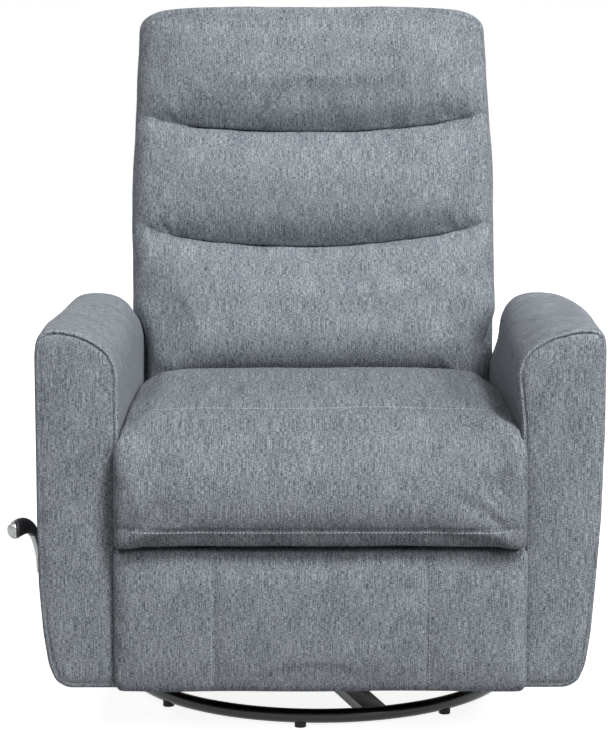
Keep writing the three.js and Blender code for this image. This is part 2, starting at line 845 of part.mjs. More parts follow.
function seatProfile(inset, crown) {
  const front = -seatFrontForward + inset;
  const top = seatTop - inset;
  const lip = seatLipBottom + inset * half;
  const rearTop = backFaceY(top) - seatRearGap - backCrown;
  const rearBase = Math.min(backFaceY(seatBase) - seatRearGap, rearTop);
  const rollBack = frontRailFront - gap;
  const depth = rearTop - front;
  const r = seatFrontRadius;
  const low = seatLipRadius;
  return [
    [rearBase, seatBase],
    [rearTop, top - seatCrown * 2],
    [rearTop - seatCrown * 2, top - seatCrown * half],
    [rearTop - depth * 0.25, top + crown * 0.7],
    [rearTop - depth * half, top + crown],
    [rearTop - depth * 0.72, top + crown * 0.8],
    ...arc(front + r, top - r, r, 90, 180, 6),
    [front - crown * 0.4, (top - r + lip + low) * half],
    ...arc(front + low, lip + low, low, 180, 250, 4),
    [rollBack, lip + low * 0.75],
    [rollBack, seatBase],
  ];
}

function seatCushion() {
  const stations = stationsAcross(seatHalfWidth, seatSideRadius, [-0.6, -0.2, 0.2, 0.6]);
  const rings = stations.map((x) => {
    const inset = drawIn(seatHalfWidth - Math.abs(x), seatSideRadius);
    const share = x / seatHalfWidth;
    const crown = seatCrown * (1 - share * share);
    return seatProfile(inset, crown).map(([y, z]) => new THREE.Vector3(x, y, z));
  });
  return loft(rings, alongX);
}

add("seat_cushion", seatCushion(), fabric);

// Back: a timber frame on two steel straps, padding over its front, top and sides, and a panel behind

function leaned(geometry) {
  return geometry.rotateX(-backLean * degree).translate(0, hingeY, hingeHeight);
}

const backTopRise =
  (backTopHeight - hingeHeight - backEdgeRadius - (backFrontDepth - backEdgeRadius) * leanSin) / leanCos +
  backEdgeRadius;
const pocketRise = backTopRise - backTopPadding;

function backRear(rise) {
  return backDepth - backFrontDepth - ((backDepth - backTopDepth) * rise) / backTopRise;
}

function backStrap() {
  const ear = sidePlateEarRadius;
  const front = backFrameFront + gap;
  const outline = polygon([
    ...arc(0, 0, ear, 150, 330, 8),
    [front + backStrapWidth, backFrameRise],
    [front + backStrapWidth, backStrapRise],
    [front, backStrapRise],
    [front, backBottomRise],
  ]);
  const x = backFrameHalfWidth + gap;
  return join(
    plate(outline, x, backStrapThickness),
    ...pin([0, 0], x, sidePlateInnerX, sidePlateThickness),
  );
}

addPair("back_strap", leaned(backStrap()), zincSteel);

function backFrame() {
  const outer = backFrameHalfWidth;
  const inner = outer - backTimberThickness;
  const front = backFrameFront + gap;
  const topRise = pocketRise - gap;
  const thick = backTimberThickness;
  const rail = (rise) => block(-inner, inner, front, front + thick, rise, rise + backTimberWidth);
  const stile = (x) => block(x, x + thick, front, front + backStileDepth, backFrameRise, topRise);
  const middleRise = (backFrameRise + topRise - backTimberWidth) * half;
  return join(
    stile(inner),
    stile(-outer),
    rail(backFrameRise),
    rail(middleRise),
    rail(topRise - backTimberWidth),
  );
}

add("back_frame", leaned(backFrame()), timber);

const pocketHalfWidth = backFrameHalfWidth + backStrapThickness + gap * 2;

function backRearPanel() {
  const thick = backPanelThickness;
  const low = backBottomRise;
  const high = pocketRise - gap;
  const outline = polygon([
    [backRear(low) - thick, low],
    [backRear(low), low],
    [backRear(high), high],
    [backRear(high) - thick, high],
  ]);
  const x = pocketHalfWidth - gap;
  return plate(outline, -x, x * 2);
}

add("back_rear_panel", leaned(backRearPanel()), fabric);

// How full a pillow is between the tucks below and above it, from 0 in a tuck to 1.
function fullness(rise, across) {
  const dip = 1 - across * across;
  const low = lowTuckRise - lowTuckSag * dip;
  const high = highTuckRise - highTuckSag * dip;
  const round = (share) => Math.sqrt(Math.max(0, 1 - (2 * share - 1) * (2 * share - 1)));
  if (rise < low) {
    const share = (rise - backBottomRise) / (low - backBottomRise);
    return share < half ? 0.6 + 0.4 * Math.sin(Math.PI * share) : round(share);
  }
  if (rise < high) {
    return round((rise - low) / (high - low));
  }
  const share = (rise - high) / (backTopRise - high);
  return share < half ? round(share) : 1;
}

function backHalfWidth(rise, behindFront) {
  const widenAt = backWideningRise + (behindFront * leanSin) / leanCos;
  const widening = Math.min(Math.max((rise - widenAt) / backWideningLength, 0), 1);
  const narrowing = Math.max((rise - backNarrowingRise) / (backTopRise - backNarrowingRise), 0);
  const widened = backLowHalfWidth + (backHighHalfWidth - backLowHalfWidth) * widening;
  return widened - (backHighHalfWidth - backTopHalfWidth) * narrowing;
}

function backRing(rise) {
  const fromTop = backTopRise - rise;
  const sideInset = drawIn(fromTop, backCornerRadius);
  const front = -backFrontDepth + drawIn(fromTop, backEdgeRadius);
  const rear = backRear(rise) - drawIn(fromTop, backRearEdgeRadius);
  const r = backEdgeRadius;
  const rr = backRearEdgeRadius;
  const frontX = backHalfWidth(rise, 0) - sideInset;
  const rearX = backHalfWidth(rise, rear - front) - sideInset;
  const faceShares = [-1, -0.92, -0.8, -0.62, -0.42, -0.2, 0, 0.2, 0.42, 0.62, 0.8, 0.92, 1];
  const face = faceShares.map((across) => {
    const edge = Math.sqrt(1 - Math.pow(Math.abs(across), 3));
    const full = fullness(rise, across);
    return [across * (frontX - r), front + edge * (tuckDepth * (1 - full) - backCrown * full)];
  });
  return [
    ...face,
    ...arc(frontX - r, front + r, r, -90, 0, 3).slice(1),
    ...arc(rearX - rr, rear - rr, rr, 0, 90, 2),
    ...arc(rr - rearX, rear - rr, rr, 90, 180, 2),
    ...arc(r - frontX, front + r, r, 180, 270, 3).slice(0, -1),
  ].map(([x, y]) => new THREE.Vector3(x, y, rise));
}

function backCushion() {
  const span = backTopRise - backBottomRise;
  const plainShares = [0, 0.07, 0.15, 0.22, 0.25, 0.28, 0.32, 0.36];
  const tuckShares = [-1.6, -0.8, -0.36, 0, 0.36, 0.72, 1.08, 1.5, 2.2];
  const middleShares = [0.3, 0.55, 0.8];
  const topShares = [2.6, 1.9, 1.35, 1, 0.72, 0.45, 0.24, 0.1, 0.025, 0];
  const rises = [
    ...plainShares.map((share) => backBottomRise + share * span),
    ...tuckShares.map((share) => lowTuckRise - lowTuckSag + share * lowTuckSag),
    ...middleShares.map((share) => lowTuckRise + share * (highTuckRise - lowTuckRise)),
    ...tuckShares.slice(2).map((share) => highTuckRise - highTuckSag + share * lowTuckSag),
    ...topShares.map((share) => backTopRise - share * backCornerRadius),
  ].sort((a, b) => a - b);
  const pocket = block(
    -pocketHalfWidth,
    pocketHalfWidth,
    backFrameFront,
    backDepth,
    backBottomRise - overrun,
    pocketRise,
  );
  return cut(loft(rises.map(backRing), alongZ), pocket);
}

add("back_cushion", leaned(backCushion()), fabric);

// Arms: a timber board on a base rail, and padding that covers the board but for its inner face

const armOuterX = armInnerX + armWidth;
const armBoardX = armInnerX + gap;
const boardLow = armBottom + armBoardRaise;
const boardFront = armFrontY + armBoardInset;
const boardRear = armRearY - armBoardRearInset;

function armBoard(withShaft) {
  const railX = sidePlateInnerX + sidePlateThickness + gap;
  const railLow = armBottom + baseRailRaise;
  const railEnd = baseRailLength * half;
  const board = block(
    armBoardX,
    armBoardX + armBoardThickness,
    boardFront,
    boardRear,
    boardLow,
    boardLow + armBoardHeight,
  );
  const rail = block(railX, armBoardX + gap, -railEnd, railEnd, railLow, railLow + baseRailHeight);
  const whole = join(board, rail);
  return withShaft ? cut(whole, shaftBore()) : whole;
}

function shaftBore() {
  return crossBar(shaftAt, shaftHole, armInnerX - overrun, armOuterX + overrun);
}

// The arm's outline across, as shares of its width outwards and of its rounded top downwards
const armTopShares = [
  [0, 1.15],
  [0.02, 0.86],
  [0.09, 0.57],
  [0.21, 0.36],
  [0.37, 0.17],
  [0.55, 0.06],
  [0.7, 0],
  [0.82, 0.03],
  [0.92, 0.16],
  [0.98, 0.36],
  [1, 0.62],
];
// and as shares of its width outwards and of its height upwards
const armSideShares = [
  [1, 0.716],
  [0.975, 0.475],
  [0.943, 0.291],
  [0.893, 0.156],
  [0.82, 0.065],
  [0.72, 0.02],
  [0.557, 0.004],
  [0.35, 0],
];

function armRing(y) {
  const fromFront = y - armFrontY;
  const fromRear = armRearY - y;
  const inset = Math.max(drawIn(fromFront, armFrontRadius), drawIn(fromRear, armRearRadius));
  const slope = Math.max((y - armSlopeY) / (armRearY - armSlopeY), 0);
  const low = armBottom + inset;
  const high = armHeight - (armHeight - armRearHeight) * slope - inset;
  const inner = armInnerX + inset;
  const width = armWidth - inset * 2;
  const tall = high - low;
  return [
    ...armTopShares.map(([out, down]) => [inner + out * width, high - down * armShoulder]),
    ...armSideShares.map(([out, up]) => [inner + out * width, low + up * tall]),
    [inner, low],
  ].map(([x, z]) => new THREE.Vector3(x, y, z));
}

function armCover(withShaft) {
  const ends = [0, 0.06, 0.25, 0.6, 1];
  const along = [
    ...ends.map((share) => armFrontY + share * armFrontRadius),
    (armFrontY + armSlopeY) * half,
    armSlopeY,
    (armRearY + armSlopeY) * half,
    ...ends.map((share) => armRearY - share * armRearRadius).reverse(),
  ];
  const pocket = block(
    armInnerX - overrun,
    armBoardX + armBoardThickness + gap,
    boardFront - gap,
    boardRear + gap,
    boardLow - gap,
    boardLow + armBoardHeight + gap,
  );
  const cover = cut(loft(along.map(armRing), alongY), pocket);
  return withShaft ? cut(cover, shaftBore()) : cover;
}

add("arm_board_right", armBoard(false), timber);
add("arm_board_left", armBoard(true), timber).scale.x = mirror;
add("arm_cover_right", armCover(false), fabric);
add("arm_cover_left", armCover(true), fabric).scale.x = mirror;

// Rear apron between the arms

const apronRear = armRearY - apronInset;
const apronX = armInnerX - gap;
add(
  "rear_apron",
  block(-apronX, apronX, apronRear - apronThickness, apronRear, armBottom, armBottom + apronHeight),
  fabric,
);

// Torque shaft and its lever, on the left

const leverX = armInnerX + armWidth * leverBaseShare;
const leverTop = leverX + leverBaseThickness;

function torqueShaft() {
  const [y, z] = shaftAt;
  const h = shaftHalf;
  const farX = sidePlateInnerX + sidePlateThickness + shaftOvershoot;
  return block(-leverTop + gap, farX, y - h, y + h, z - h, z + h);
}

add("torque_shaft", torqueShaft(), blackSteel);

// The lever's middle line as a curve's ends and handles, in shares of its reach outwards, forwards and
// upwards from the shaft. It hugs the arm, and flares out towards its tip.
const leverShares = [
  [0, -0.04, -0.08],
  [0, 0.2, 0.38],
  [0.06, 0.5, 0.66],
  [0.21, 0.86, 0.56],
];
const leverRootX = leverTop - leverRootThickness * half;
const leverPoints = leverShares.map(([out, forward, up]) => {
  const [y, z] = shaftAt;
  return new THREE.Vector3(leverRootX + out * leverReach, y - forward * leverReach, z + up * leverReach);
});
const leverPath = new THREE.CubicBezierCurve3(...leverPoints);
const leverLength = leverPath.getLength();

// A bar of oval section between two shares of the lever's length. It widens towards the tip, "proud" makes
// it larger all round, and its ends are rounded or cut straight.
function leverBar(from, to, stations, proud, rounded) {
  const outwards = new THREE.Vector3(1, 0, 0);
  const rings = Array.from({ length: stations + 1 }, (_, i) => {
    const share = from + ((to - from) * i) / stations;
    const grown = share * share * (3 - 2 * share);
    const width = leverRootWidth + (leverTipWidth - leverRootWidth) * grown;
    const thickness = leverRootThickness + (leverTipThickness - leverRootThickness) * grown;
    const fromEnd = (Math.min(share - from, to - share) * leverLength) / (width * half);
    const toEnd = rounded ? 1 - Math.min(Math.max(fromEnd, leverBlunt), 1) : 0;
    const taper = Math.sqrt(1 - toEnd * toEnd);
    const centre = leverPath.getPointAt(share);
    const along = leverPath.getTangentAt(share);
    const across = outwards.clone().cross(along).normalize();
    const outward = along.clone().cross(across);
    return arc(0, 0, 1, 0, 360 - 360 / leverSides, leverSides - 1).map(([u, v]) =>
      centre
        .clone()
        .addScaledVector(across, u * (width * half * taper + proud))
        .addScaledVector(outward, v * (thickness * half * taper + proud)),
    );
  });
  const slope = leverPath.getTangentAt((from + to) * half);
  const flatAcross = outwards.clone().cross(slope).normalize();
  return loft(rings, (p) => new THREE.Vector2(p.dot(flatAcross), p.x));
}

// The grip is a sleeve that sits in a groove round the bar. A clearance makes the groove from it.
function gripSleeve(clearance) {
  const margin = clearance / leverLength;
  const proud = clearance > 0 ? overrun : gripProud;
  const run = overrun / leverLength;
  return cut(
    leverBar(gripStartShare - margin, gripEndShare + margin, gripStations, proud, false),
    leverBar(gripStartShare - run, gripEndShare + run, gripStations, -gripThickness - clearance, false),
  );
}

function lever() {
  const base = crossBar(shaftAt, leverBaseRadius, leverX, leverTop, leverSides * 2);
  const bar = leverBar(0, 1, leverStations, 0, true);
  const key = shaftHalf + gap;
  const square = block(
    leverX - overrun,
    leverTop,
    shaftAt[0] - key,
    shaftAt[0] + key,
    shaftAt[1] - key,
    shaftAt[1] + key,
  );
  return cut(join(base, bar), square, gripSleeve(gap));
}

add("lever", lever(), satinChrome).scale.x = mirror;
add("lever_grip", gripSleeve(0), softBlack).scale.x = mirror;

export default chair;
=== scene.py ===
# %% [markdown]
# # A swivel glider recliner in heathered linen
#
# The chair turns and glides on a ring base, its back reclines, and a lever on its side throws out a
# footrest. The CAD model gives every size and every joint. This file gives the looks: sewn cushions,
# a woven cloth, stitches, powder-coated steel and a cast lever.

# %% Load the CAD model as a fixed frame
import json
import math

import bmesh
import bpy
import numpy as np
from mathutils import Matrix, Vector, noise
from mathutils.bvhtree import BVHTree


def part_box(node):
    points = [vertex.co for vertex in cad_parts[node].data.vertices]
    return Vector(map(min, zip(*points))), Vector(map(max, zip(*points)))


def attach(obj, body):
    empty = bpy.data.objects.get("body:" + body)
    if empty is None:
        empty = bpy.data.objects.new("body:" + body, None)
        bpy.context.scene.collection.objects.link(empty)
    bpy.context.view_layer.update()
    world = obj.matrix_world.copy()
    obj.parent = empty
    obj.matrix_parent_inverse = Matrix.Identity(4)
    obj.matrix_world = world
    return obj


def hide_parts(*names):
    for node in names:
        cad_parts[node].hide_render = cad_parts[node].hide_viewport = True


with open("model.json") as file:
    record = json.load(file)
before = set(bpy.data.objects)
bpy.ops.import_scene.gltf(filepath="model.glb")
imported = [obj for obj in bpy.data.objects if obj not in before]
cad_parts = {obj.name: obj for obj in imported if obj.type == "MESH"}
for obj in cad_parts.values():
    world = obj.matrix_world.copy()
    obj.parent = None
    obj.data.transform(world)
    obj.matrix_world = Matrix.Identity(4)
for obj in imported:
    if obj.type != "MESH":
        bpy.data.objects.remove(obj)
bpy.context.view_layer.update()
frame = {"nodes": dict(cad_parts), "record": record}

scene = bpy.context.scene
nodes = frame["nodes"]
MM = 0.001

# %% [markdown]
# ## Camera
#
# The photograph is a catalogue view: straight from the front, from a little above the chair's back, with
# a long lens so that the near and far edges keep nearly the same size. Where the base ring and the arms'
# front and rear edges fall in the picture gives the distance and the tilt. The camera stands slightly to
# the left of the chair's middle.

# %% The camera
PICTURE_HEIGHT = 730
FOCAL_PIXELS = 2424
SENSOR = 36

eye = bpy.data.objects.new("camera", bpy.data.cameras.new("camera"))
scene.collection.objects.link(eye)
eye.data.lens = SENSOR * FOCAL_PIXELS / PICTURE_HEIGHT
eye.data.sensor_width = SENSOR
eye.location = (-30 * MM, -3915 * MM, 1115 * MM)
eye.rotation_euler = (math.radians(90 - 8.7), 0, math.radians(-0.18))
scene.camera = eye
print("lens", round(eye.data.lens, 1), "mm")

# %% [markdown]
# ## Colours and nodes
#
# Colours are written as sRGB hex values, as a colour picker shows them, and one function turns them to
# the linear numbers that Blender's shaders count in. Another adds a node to a material with its settings
# and its links in one line, so that a whole material reads from top to bottom. Most finishes are a fine
# speckle between two close tones with a little relief, so these steps have a function each.


# %% Helpers for materials
def linear(hex_colour):
    parts = [int(hex_colour[i : i + 2], 16) / 255 for i in (1, 3, 5)]
    return [p / 12.92 if p <= 0.04045 else ((p + 0.055) / 1.055) ** 2.4 for p in parts] + [1]


def add(tree, kind, inputs={}, **settings):
    node = tree.nodes.new(kind)
    for name, value in settings.items():
        setattr(node, name, value)
    for socket, value in inputs.items():
        if isinstance(value, bpy.types.NodeSocket):
            tree.links.new(value, node.inputs[socket])
        else:
            node.inputs[socket].default_value = value
    return node


def new_material(name):
    material = bpy.data.materials.new(name)
    material.use_nodes = True
    material.node_tree.nodes.clear()
    return material, material.node_tree


def speckle(tree, scale, detail, stretch=None, distortion=0.0):
    place = add(tree, "ShaderNodeTexCoord").outputs["Object"]
    if stretch:
        place = add(tree, "ShaderNodeMapping", {"Vector": place, "Scale": stretch}).outputs[0]
    look = {"Vector": place, "Scale": scale, "Detail": detail, "Distortion": distortion}
    return add(tree, "ShaderNodeTexNoise", look).outputs[0]


def two_tone(tree, amount, dark, light):
    tone = add(tree, "ShaderNodeValToRGB", {0: amount})
    tone.color_ramp.elements[0].color = linear(dark)
    tone.color_ramp.elements[1].color = linear(light)
    return tone.outputs[0]


def roughness_from(tree, amount, low, high):
    return add(tree, "ShaderNodeMapRange", {0: amount, 3: low, 4: high}).outputs[0]


def relief_from(tree, height, strength, distance):
    look = {"Height": height, "Strength": strength, "Distance": distance}
    return add(tree, "ShaderNodeBump", look).outputs[0]


def finished(material, settings):
    surface = add(material.node_tree, "ShaderNodeBsdfPrincipled", settings)
    add(material.node_tree, "ShaderNodeOutputMaterial", {"Surface": surface.outputs[0]})
    return material


# %% [markdown]
# ## Room and light
#
# The chair stands on a plain pale floor in front of nothing. Four large soft lamps before and beside it and
# two low ones behind light it at a level at which a colour renders about as it is written. They stand 9 m
# away, so that the chair's foot gets as much light as its head. The high key lamp draws the dark line above
# each tuck. What the camera, a reflection or a clear material sees of the world is plain white: the Light
# Path node tells such rays apart from the ones that carry light. The floor is white in the same way, but
# keeps the chair's shadow.


# %% World, floor and lamps
def seen_directly(tree):
    path = add(tree, "ShaderNodeLightPath")
    rays = {0: path.outputs["Is Camera Ray"], 1: path.outputs["Is Glossy Ray"]}
    return path, add(tree, "ShaderNodeMath", rays, operation="MAXIMUM").outputs[0]


def white_world(strength):
    world = bpy.data.worlds.new("white_room")
    world.use_nodes = True
    tree = world.node_tree
    tree.nodes.clear()
    path, seen = seen_directly(tree)
    rays = {0: seen, 1: path.outputs["Is Transmission Ray"]}
    through = add(tree, "ShaderNodeMath", rays, operation="MAXIMUM")
    level = add(tree, "ShaderNodeMix", {0: through.outputs[0], 2: strength, 3: 1.0})
    shade = add(tree, "ShaderNodeBackground", {"Color": (1, 1, 1, 1), "Strength": level.outputs[0]})
    add(tree, "ShaderNodeOutputWorld", {"Surface": shade.outputs[0]})
    scene.world = world


def floor_paint():
    material, tree = new_material("pale_studio_floor")
    seen = seen_directly(tree)[1]
    matt = add(tree, "ShaderNodeBsdfDiffuse", {"Color": linear("#d8d8d8")})
    glow = add(tree, "ShaderNodeEmission", {"Strength": 0.9})
    both = add(tree, "ShaderNodeAddShader", {0: matt.outputs[0], 1: glow.outputs[0]})
    dim = add(tree, "ShaderNodeBsdfDiffuse", {"Color": linear("#8c8c8c")})
    pick = add(tree, "ShaderNodeMixShader", {0: seen, 1: dim.outputs[0], 2: both.outputs[0]})
    add(tree, "ShaderNodeOutputMaterial", {"Surface": pick.outputs[0]})
    return material


LAMP_WIDTH = 2.2
LAMP_AWAY = 9
CHAIR_MIDDLE = Vector((0, -0.1, 0.55))


def soft_lamp(name, toward_right, upward, power):
    lamp = bpy.data.objects.new(name, bpy.data.lights.new(name, "AREA"))
    scene.collection.objects.link(lamp)
    lamp.data.shape = "DISK"
    lamp.data.size = LAMP_WIDTH
    lamp.data.energy = power
    turn, rise = math.radians(toward_right), math.radians(upward)
    way = Vector((math.sin(turn) * math.cos(rise), -math.cos(turn) * math.cos(rise), math.sin(rise)))
    lamp.location = CHAIR_MIDDLE + way * LAMP_AWAY
    lamp.rotation_euler = way.to_track_quat("Z", "Y").to_euler()


FLOOR_REACH = 9
floor_mesh = bpy.data.meshes.new("floor")
floor_corners = [(x * FLOOR_REACH, y * FLOOR_REACH, 0) for x, y in ((-1, -1), (1, -1), (1, 1), (-1, 1))]
floor_mesh.from_pydata(floor_corners, [], [(0, 1, 2, 3)])
floor = bpy.data.objects.new("floor", floor_mesh)
scene.collection.objects.link(floor)
floor_mesh.materials.append(floor_paint())

white_world(0.02)
soft_lamp("key_lamp", 32, 52, 520)
soft_lamp("low_lamp", 38, 25, 205)
soft_lamp("left_lamp", -32, 46, 170)
soft_lamp("side_lamp", 80, 38, 155)
soft_lamp("rear_left_lamp", -145, 12, 180)
soft_lamp("rear_right_lamp", 150, 12, 180)
scene.view_settings.view_transform = "Standard"
print("floor, world and six lamps ready")

# %% [markdown]
# ## Heathered linen
#
# The cloth is a plain weave of mixed grey yarns: fine vertical threads of uneven thickness (slubs) with
# fainter ones across them, some nearly white and some charcoal. It could be a photograph of cloth, but a
# procedural weave keeps its scale on every piece and needs no unwrapping, which matters because the
# cushions are remeshed. Two stretched noises draw the threads: long and thin along the warp, and the same
# across it. A longer one adds the slubs, a fine one the grain, and a broad one makes the cloth faintly
# patchy. Real threads are 0.4 mm apart, too fine for the picture, so they are drawn wider. Which two axes
# the cloth lies in comes from the surface's own direction. Depth counts a quarter beside height, so the
# threads run on over a rolled edge without a break, and lie long on a level top, which the photograph shows
# nearly edge on. The seat gets a copy of the same cloth with every yarn colour painted darker: this is
# painted shade on its level top, not a different cloth.


# %% The cloth
LONG_ON_TOP = 4


def woven_linen(name, along_arm=False, light=1.0):
    material, tree = new_material(name)
    at = add(tree, "ShaderNodeTexCoord")
    place = add(tree, "ShaderNodeSeparateXYZ", {0: at.outputs["Object"]})
    facing = add(tree, "ShaderNodeSeparateXYZ", {0: at.outputs["Normal"]})
    size = [add(tree, "ShaderNodeMath", {0: way}, operation="ABSOLUTE").outputs[0] for way in facing.outputs]

    def mostly(i, j, k):
        rest = add(tree, "ShaderNodeMath", {0: size[j], 1: size[k]}, operation="MAXIMUM")
        most = add(tree, "ShaderNodeMath", {0: size[i], 1: rest.outputs[0]}, operation="GREATER_THAN")
        return most.outputs[0]

    x, y, z = place.outputs
    if along_arm:
        across = add(tree, "ShaderNodeMix", {0: mostly(1, 0, 2), 2: y, 3: x}).outputs[0]
        down = add(tree, "ShaderNodeMix", {0: mostly(2, 0, 1), 2: z, 3: x}).outputs[0]
    else:
        sideways = mostly(0, 1, 2)
        across = add(tree, "ShaderNodeMix", {0: sideways, 2: x, 3: y}).outputs[0]
        longer = add(tree, "ShaderNodeMath", {0: y, 1: LONG_ON_TOP}, operation="DIVIDE").outputs[0]
        depth = add(tree, "ShaderNodeMix", {0: sideways, 2: longer, 3: 0.0}).outputs[0]
        down = add(tree, "ShaderNodeMath", {0: z, 1: depth}).outputs[0]

    def threads(width, length, detail):
        u = add(tree, "ShaderNodeMath", {0: across, 1: 1 / (width * MM)}, operation="MULTIPLY").outputs[0]
        v = add(tree, "ShaderNodeMath", {0: down, 1: 1 / (length * MM)}, operation="MULTIPLY").outputs[0]
        where = add(tree, "ShaderNodeCombineXYZ", {0: u, 1: v})
        return add(
            tree,
            "ShaderNodeTexNoise",
            {"Vector": where.outputs[0], "Scale": 1.0, "Detail": detail, "Roughness": 0.6},
            noise_dimensions="2D",
        ).outputs[0]

    warp = threads(0.75, 7, 0)
    weft = threads(6, 0.75, 0)
    slub = threads(0.8, 34, 1)
    grain = threads(0.62, 0.62, 0)
    patchy = threads(40, 80, 2)
    woven = add(tree, "ShaderNodeMix", {0: 0.5, 2: warp, 3: weft}).outputs[0]
    uneven = add(tree, "ShaderNodeMix", {0: 0.4, 2: woven, 3: slub}).outputs[0]
    mixed = add(tree, "ShaderNodeMix", {0: 0.45, 2: uneven, 3: grain}).outputs[0]
    shifted = add(tree, "ShaderNodeMath", {0: patchy, 1: 0.05, 2: -0.025}, operation="MULTIPLY_ADD")
    tone = add(tree, "ShaderNodeMath", {0: mixed, 1: shifted.outputs[0]}).outputs[0]
    yarn = add(tree, "ShaderNodeValToRGB", {0: tone})
    ramp = yarn.color_ramp
    # A light below 1 scales every yarn colour down. This is painted shade, used for the seat's copy of the
    # cloth.
    for position, colour in ((0.41, "#373e46"), (0.475, "#646c75"), (0.523, "#838b93"), (0.588, "#d0d5da")):
        stop = ramp.elements.new(position)
        stop.color = [channel * light for channel in linear(colour)[:3]] + [1]
    ramp.elements.remove(ramp.elements[0])
    ramp.elements.remove(ramp.elements[-1])
    look = {"Base Color": yarn.outputs[0], "Roughness": 0.92, "IOR": 1.45, "Specular IOR Level": 0.2}
    look |= {"Sheen Weight": 0.04, "Sheen Roughness": 0.5}
    return finished(material, look | {"Normal": relief_from(tree, mixed, 0.5, 0.6 * MM)})


linen = woven_linen("heathered_linen")
linen_arm = woven_linen("heathered_linen_on_the_arms", along_arm=True)
# The seat's copy of the cloth is painted 16 % darker. This is painted shade on the seat's level top.
linen_seat_painted_shade = woven_linen("heathered_linen_painted_shade_on_the_seat", light=0.84)
print("cloth ready")

# %% [markdown]
# ## Thread
#
# Upholstery thread is twisted polyester, a shade lighter than the cloth, with a soft shine. A fine speckle
# of two tones stands for the twist.


# %% The thread
def sewing_thread():
    material, tree = new_material("twisted_polyester_thread")
    tone = two_tone(tree, speckle(tree, 900.0, 1.0), "#8d949b", "#c3c8cc")
    return finished(material, {"Base Color": tone, "Roughness": 0.55})


thread = sewing_thread()
print("thread ready")

# %% [markdown]
# ## From rings to a closed form
#
# Every cushion is first drawn as a row of closed rings, one beside the next, like the ribs of a boat.
# Faces between neighbouring rings make the skin, and one face closes each end. Most rings are slices
# across the chair, closer together near both edges, where the form curves more. Modifiers are applied by
# taking the mesh that they give, so that no modifier is left on a piece.


# %% Helpers that make and settle a mesh
def show(name, mesh, material):
    piece = bpy.data.objects.new(name, mesh)
    scene.collection.objects.link(piece)
    piece.data.materials.clear()
    piece.data.materials.append(material)
    return piece


def skin(name, rings, material):
    rings = np.array(rings)
    count = rings.shape[1]
    faces = []
    for ring in range(len(rings) - 1):
        for i in range(count):
            j = (i + 1) % count
            a, b = ring * count, (ring + 1) * count
            faces.append((a + i, a + j, b + j, b + i))
    faces.append(tuple(range(count)))
    faces.append(tuple(range((len(rings) - 1) * count, len(rings) * count)))
    mesh = bpy.data.meshes.new(name)
    mesh.from_pydata(rings.reshape(-1, 3).tolist(), [], faces)
    shape = bmesh.new()
    shape.from_mesh(mesh)
    bmesh.ops.recalc_face_normals(shape, faces=shape.faces)
    shape.to_mesh(mesh)
    shape.free()
    return show(name, mesh, material)


def settle(piece):
    graph = bpy.context.evaluated_depsgraph_get()
    mesh = bpy.data.meshes.new_from_object(piece.evaluated_get(graph))
    piece.modifiers.clear()
    old = piece.data
    piece.data = mesh
    bpy.data.meshes.remove(old)
    mesh.shade_smooth()


def points_of(piece):
    flat = np.zeros(len(piece.data.vertices) * 3)
    piece.data.vertices.foreach_get("co", flat)
    return flat.reshape(-1, 3)


def put_points(piece, points):
    piece.data.vertices.foreach_set("co", points.ravel())
    piece.data.update()


def normals_of(piece):
    flat = np.zeros(len(piece.data.vertices) * 3)
    piece.data.vertex_normals.foreach_get("vector", flat)
    return flat.reshape(-1, 3)


def remesh(piece, voxel, smoothing):
    changer = piece.modifiers.new("remesh", "REMESH")
    changer.mode = "VOXEL"
    changer.voxel_size = voxel
    smoother = piece.modifiers.new("smooth", "SMOOTH")
    smoother.factor = 0.5
    smoother.iterations = smoothing
    settle(piece)


def refine(piece):
    divider = piece.modifiers.new("divide", "SUBSURF")
    divider.levels = 1
    divider.use_limit_surface = False
    settle(piece)


def hollow(piece, low, high):
    corners = [(x, y, z) for x in (low[0], high[0]) for y in (low[1], high[1]) for z in (low[2], high[2])]
    sides = [(0, 1, 3, 2), (4, 6, 7, 5), (0, 4, 5, 1), (2, 3, 7, 6), (0, 2, 6, 4), (1, 5, 7, 3)]
    mesh = bpy.data.meshes.new("block")
    mesh.from_pydata(corners, [], sides)
    block = bpy.data.objects.new("block", mesh)
    scene.collection.objects.link(block)
    cutting = piece.modifiers.new("hollow", "BOOLEAN")
    cutting.operation = "DIFFERENCE"
    cutting.object = block
    cutting.solver = "EXACT"
    settle(piece)
    bpy.data.objects.remove(block)


def draw_in(from_end, radius):
    into = np.clip(from_end, 0, radius)
    return radius - np.sqrt(radius * radius - (radius - into) ** 2)


def spread(low, high, step):
    return np.linspace(low, high, max(2, int(round((high - low) / step)) + 1))


def slices(edge, inner, fine, middle, coarse):
    left, right = spread(-edge, -inner, fine), spread(inner, edge, fine)
    return np.concatenate([left, spread(-middle, middle, coarse), right]) * MM


def arc(u, v, radius, start, end, steps):
    angles = np.radians(np.linspace(start, end, steps + 1))
    return [(u + radius * math.cos(a), v + radius * math.sin(a)) for a in angles]


# %% [markdown]
# ## Swelling the padding
#
# Foam under a sewn cover pushes it out until the cloth is taut. A cloth simulation shows this well: the
# closed form gets a pressure inside, no gravity, and twenty frames to swell. Points that are sewn down or
# rest on something are held. How far a point may move is capped, because the real foam stops it too. The
# form starts a little small, so that it ends at its real size.


# %% The swelling
SWELL_FRAMES = 20


